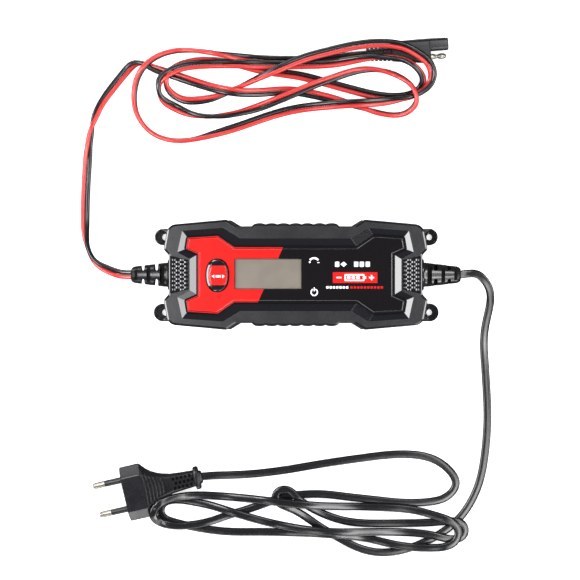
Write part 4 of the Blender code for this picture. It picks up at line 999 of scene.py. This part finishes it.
def mains_plug(body_finish, sleeve_finish, pin_finish, painted_shade_black):
    """Flat two-pin plug: chamfered body, grip ribs, pierced strain relief, collar and pins."""
    place = placing(PLUG_FACE, PLUG_TURN)
    rings = []
    for u, wide, flat, tall, side in PLUG_BODY:
        outline = [(wide, -side), (wide, side), (flat, tall), (-flat, tall), (-wide, side), (-wide, -side),
                   (-flat, -tall), (flat, -tall)]
        rings.append(across(outline, u))
    body = loft("plug_shell", rings, body_finish, place=place, smooth=50)
    body.data.materials.append(painted_shade_black)
    soften(body, 0.55, 3, 20)
    holes = []
    for row, v in enumerate((-3.0, 0.0, 3.0)):
        for k in range(5):
            u = 32.9 + 2.7 * k + (1.25 if row % 2 else 0.0)
            for sign in (1, -1):
                tall = plug_height(u, v)
                low, high = sorted((sign * (tall - 1.5), sign * (tall + 2)))
                holes.append(block(u - 0.85, u + 0.85, v - 0.95, v + 0.95, low, high))
    for side in (1, -1):
        for k in range(5):
            u = 33.6 + 2.7 * k
            low, high = sorted((side * (plug_station(u)[1] - 1.3), side * 9))
            holes.append(block(u - 0.75, u + 0.75, low, high, -1.6, 1.6))
        holes.append(turned_along_x([(2.35, -1), (2.35, 8)], 32, (side * PIN_SPREAD, 0)))
    # the walls of the strain relief's holes and the pin bores get the painted-shade black
    boolean(body, holes, finish=painted_shade_black, place=place)
    soften(body, 0.1)
    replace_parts(body, "plug_body")
    ribs = [plug_rib(13.6 + 2.25 * k, sign) for k in range(6) for sign in (1, -1)]
    pieces = [body, lofts("plug_grip_ribs", ribs, body_finish, smooth=60, place=place)]
    collar = [across(oval(a, b, 3.2), u) for u, a, b in
              ((46.2, 6.6, 5.2), (46.4, 7.1, 5.7), (47.0, 7.4, 6.1), (48.6, 7.4, 6.1), (49.2, 7.0, 5.7),
               (49.4, 4.4, 3.4), (50.6, 4.0, 3.0), (51.0, 3.6, 2.6))]
    pieces.append(loft("plug_collar", collar, body_finish, smooth=50, place=place))
    for i, side in enumerate((1, -1)):
        at = (side * PIN_SPREAD, 0)
        pin = [(0.5, -19.0), (1.1, -18.85), (1.6, -18.4), (1.9, -17.7), (1.98, -17.0), (1.98, -11.3),
               (1.3, -11.3), (1.3, 7.0)]
        blade = loft(f"pin_{i + 1}", turned_along_x(pin, 40, at), pin_finish, place=place)
        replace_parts(blade, f"plug_pin_{i + 1}")
        sleeve = [(1.85, -11.15), (2.0, -10.9), (2.0, 7.4)]
        tube = loft(f"pin_sleeve_{i + 1}", turned_along_x(sleeve, 40, at), sleeve_finish, place=place)
        boolean(tube, [turned_along_x([(1.6, -12), (1.6, 9)], 32, at)], place=place)
        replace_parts(tube, f"plug_sleeve_{i + 1}")
        pieces += [blade, tube]
    return pieces


CONNECTOR_FACE, CONNECTOR_TURN = (86.9, 144.9, 4.4), 3.5


def dc_connector(body_finish, pin_finish):
    """Two-pole connector: a bare waisted pin beside a shrouded socket, and a ringed sleeve."""
    place = placing(CONNECTOR_FACE, CONNECTOR_TURN)
    # along the connector: x, half width, half height, squareness, sideways shift
    sections = [(-25.5, 5.6, 3.6, 4, 1.1), (-25.2, 6.0, 4.0, 4.5, 1.1), (-24.4, 6.3, 4.2, 5, 1.1),
                (-9.0, 7.4, 4.2, 5, 0.5), (-0.7, 8.0, 4.2, 5, 0), (-0.2, 7.8, 4.0, 5, 0),
                (0.0, 7.5, 3.7, 5, 0)]
    rings = [across(oval(a, b, n), x, (aside, 0)) for x, a, b, n, aside in sections]
    body = loft("connector_body", rings, body_finish, smooth=50, place=place)
    shroud = [across(oval(a, b, 3.4), x, (4.0, 0)) for x, a, b in
              ((-3.0, 4.1, 3.9), (11.0, 4.0, 3.85), (11.5, 3.85, 3.7), (11.7, 3.5, 3.4))]
    boolean(body, [shroud], "UNION", place=place)
    boolean(body, [turned_along_x([(3.0, -8), (3.0, 13)], 40, (3.9, 0)),
                   turned_along_x([(2.1, -8), (2.1, 2)], 32, (-3.7, 0))], place=place)
    soften(body, 0.2)
    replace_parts(body, "sae_body")
    rings = []
    for k in range(6):
        start = -41.5 + 2.7 * k
        for x, grow in ((0.0, -0.3), (0.2, 0.0), (1.6, 0.0), (1.8, -0.3), (1.85, -0.75), (2.65, -0.75)):
            if start + x <= -25.2:
                share = (start + x + 41.5) / 16.3
                rings.append(across(oval(4.1 + 0.9 * share + grow, 3.6 + 0.5 * share + grow, 2.4),
                                    start + x))
    sleeve = loft("connector_sleeve", rings, body_finish, smooth=40, place=place)
    boolean(sleeve, [[across(oval(3.15, 1.7, 2.6), x) for x in (-43, -40.0)]], place=place)
    pin = [(1.8, -7.6), (1.8, 1.4), (1.72, 2.0), (1.3, 3.1), (1.2, 3.8), (1.3, 4.5), (1.75, 5.6),
           (1.85, 6.4), (1.85, 7.8), (1.6, 8.9), (1.0, 9.8), (0.4, 10.15)]
    blade = loft("connector_pin", turned_along_x(pin, 40, (-3.7, 0)), pin_finish, place=place)
    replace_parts(blade, "sae_pin")
    contact = loft("connector_socket", turned_along_x([(2.7, -7.6), (2.7, 9.6), (2.5, 9.8)], 40, (3.9, 0)),
                   pin_finish, place=place)
    boolean(contact, [turned_along_x([(2.0, -4), (2.0, 12)], 32, (3.9, 0))], place=place)
    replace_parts(contact, "sae_socket_contact")
    return [body, sleeve, blade, contact]
# ---------------------------------------------------------------- the model

def inner_finishes():
    """Materials of the CAD parts inside the case, which keep their CAD shape."""
    black = moulded("component_body", (0.02, 0.02, 0.021), 0.45, 0.4)
    shared = {
        "main_pcb display_pcb": moulded("solder_mask", (0.02, 0.13, 0.05), 0.35, 1.6, spread=0.25),
        "transformer_core common_mode_choke":
            moulded("sintered_ferrite", (0.05, 0.05, 0.055), 0.65, 0.35, 0.03, 0.4),
        "transformer_winding x_capacitor":
            moulded("winding_tape_yellow", (0.72, 0.56, 0.07), 0.35, 1.2, spread=0.15),
        "front_gasket rear_gasket": moulded("gasket_rubber", (0.03, 0.03, 0.03), 0.75, 0.4, 0.03),
        "board_header power_transistor switch_body switch_plunger ac_tail_neutral dc_tail_negative": black,
        "input_capacitor output_capacitor_1 output_capacitor_2":
            moulded("capacitor_sleeve", (0.03, 0.07, 0.3), 0.3, 0.8, 0.01, 0.15),
        "heatsink": metal("extruded_aluminium", (0.75, 0.75, 0.77), 0.35, stretch=(1, 1, 9)),
        "lcd_module": moulded("display_glass_cell", (0.27, 0.28, 0.25), 0.15, 1.5, 0.002, 0.06),
        "lcd_backlight": moulded("white_light_guide", (0.8, 0.8, 0.8), 0.45, 0.8, 0.005, 0.05),
        "fuse": moulded("fuse_ceramic", (0.72, 0.72, 0.68), 0.25, 0.7, 0.01, 0.08),
        "ac_tail_live": moulded("blue_tail_pvc", (0.03, 0.07, 0.3), 0.4, 0.5, 0.01, 0.1),
        "dc_tail_positive": moulded("red_tail_pvc", (0.6, 0.03, 0.02), 0.4, 0.5, 0.01, 0.1),
        "led_1 led_2": moulded("led_lens_red", (0.7, 0.08, 0.07), 0.2, 0.6, 0.004, 0.1),
        "case_screw_1 case_screw_2 case_screw_3 case_screw_4 board_screw_1 board_screw_2 "
        "display_screw_1 display_screw_2": metal("zinc_steel", (0.55, 0.55, 0.57), 0.3),
    }
    for names, finish in shared.items():
        for name in names.split():
            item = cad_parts[name]
            item.data.materials.clear()
            item.data.materials.append(finish)


def main():
    studio()
    table_top()
    red = moulded("red_wire_pvc", (0.56, 0.036, 0.034), 0.22, 0.5, 0.004, 0.05, Specular_IOR_Level=0.8)
    wire_black, cord_black = (
        moulded(name, (0.005, 0.005, 0.006), 0.2, 0.5, 0.002, 0.15, Specular_IOR_Level=0.9)
        for name in ("black_wire_pvc", "mains_cord_pvc"))
    abs_black = moulded("textured_black_abs", (0.010, 0.010, 0.012), 0.37, 0.8, 0.09, 0.6)
    gloss = printed("gloss_black_abs", (0.006, 0.006, 0.008), 0.09, 1.2, 0.002, Specular_IOR_Level=1.0)
    sheet = printed("gloss_black_print", (0.006, 0.005, 0.006), 0.12, 2.5, 0.003)
    label_red = printed("gloss_red_print", (0.58, 0.014, 0.012), 0.16, 2.5, 0.003)
    label_white = printed("white_print", (0.85, 0.85, 0.85), 0.35, 1.0, 0.003)
    pane = shader("display_pane", (0.24, 0.21, 0.18), 0.12)
    varied(pane, pattern(pane, 16.0, 2.0), "Fac", "Base Color", (0.175, 0.157, 0.132), (0.215, 0.187, 0.16))
    rubber = moulded("black_soft_pvc", (0.005, 0.005, 0.007), 0.28, 0.3, 0.008, 0.3)
    # painted shade: a darker, duller black put on the walls and floors of notches, grooves and holes, where
    # shade falls
    painted_shade_black = moulded("painted_shade_pvc", (0.002, 0.002, 0.002), 0.7, 0.3, 0.01, 0.3,
                     Specular_IOR_Level=0.2)
    gland = moulded("gland_gloss_pvc", (0.005, 0.005, 0.006), 0.2, 0.5, 0.004, 0.3, Specular_IOR_Level=1.0)
    nickel = metal("nickel_plate", (0.42, 0.39, 0.345), 0.3, stretch=(1, 3, 3), grain=0.8, height=0.0005)
    nylon = moulded("pin_sleeve_nylon", (0.012, 0.012, 0.013), 0.3, 0.3, 0.006)
    inner_finishes()
    top_shell(abs_black, gloss)
    end_pads(gloss)
    bottom_shell(abs_black, gloss)
    label(sheet, label_red, label_white)
    display(pane)
    push_button(gloss, label_red, label_white)
    cord_gland("mains", 1, gland, painted_shade_black)
    cord_gland("dc", -1, rubber, painted_shade_black)
    plug = mains_plug(rubber, nylon, nickel, painted_shade_black)
    connector = dc_connector(rubber, nickel)
    cable, dc_path = dc_lead(red, wire_black)
    cord, mains_path = mains_lead(cord_black)
    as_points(dc_path)
    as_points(mains_path)


main()
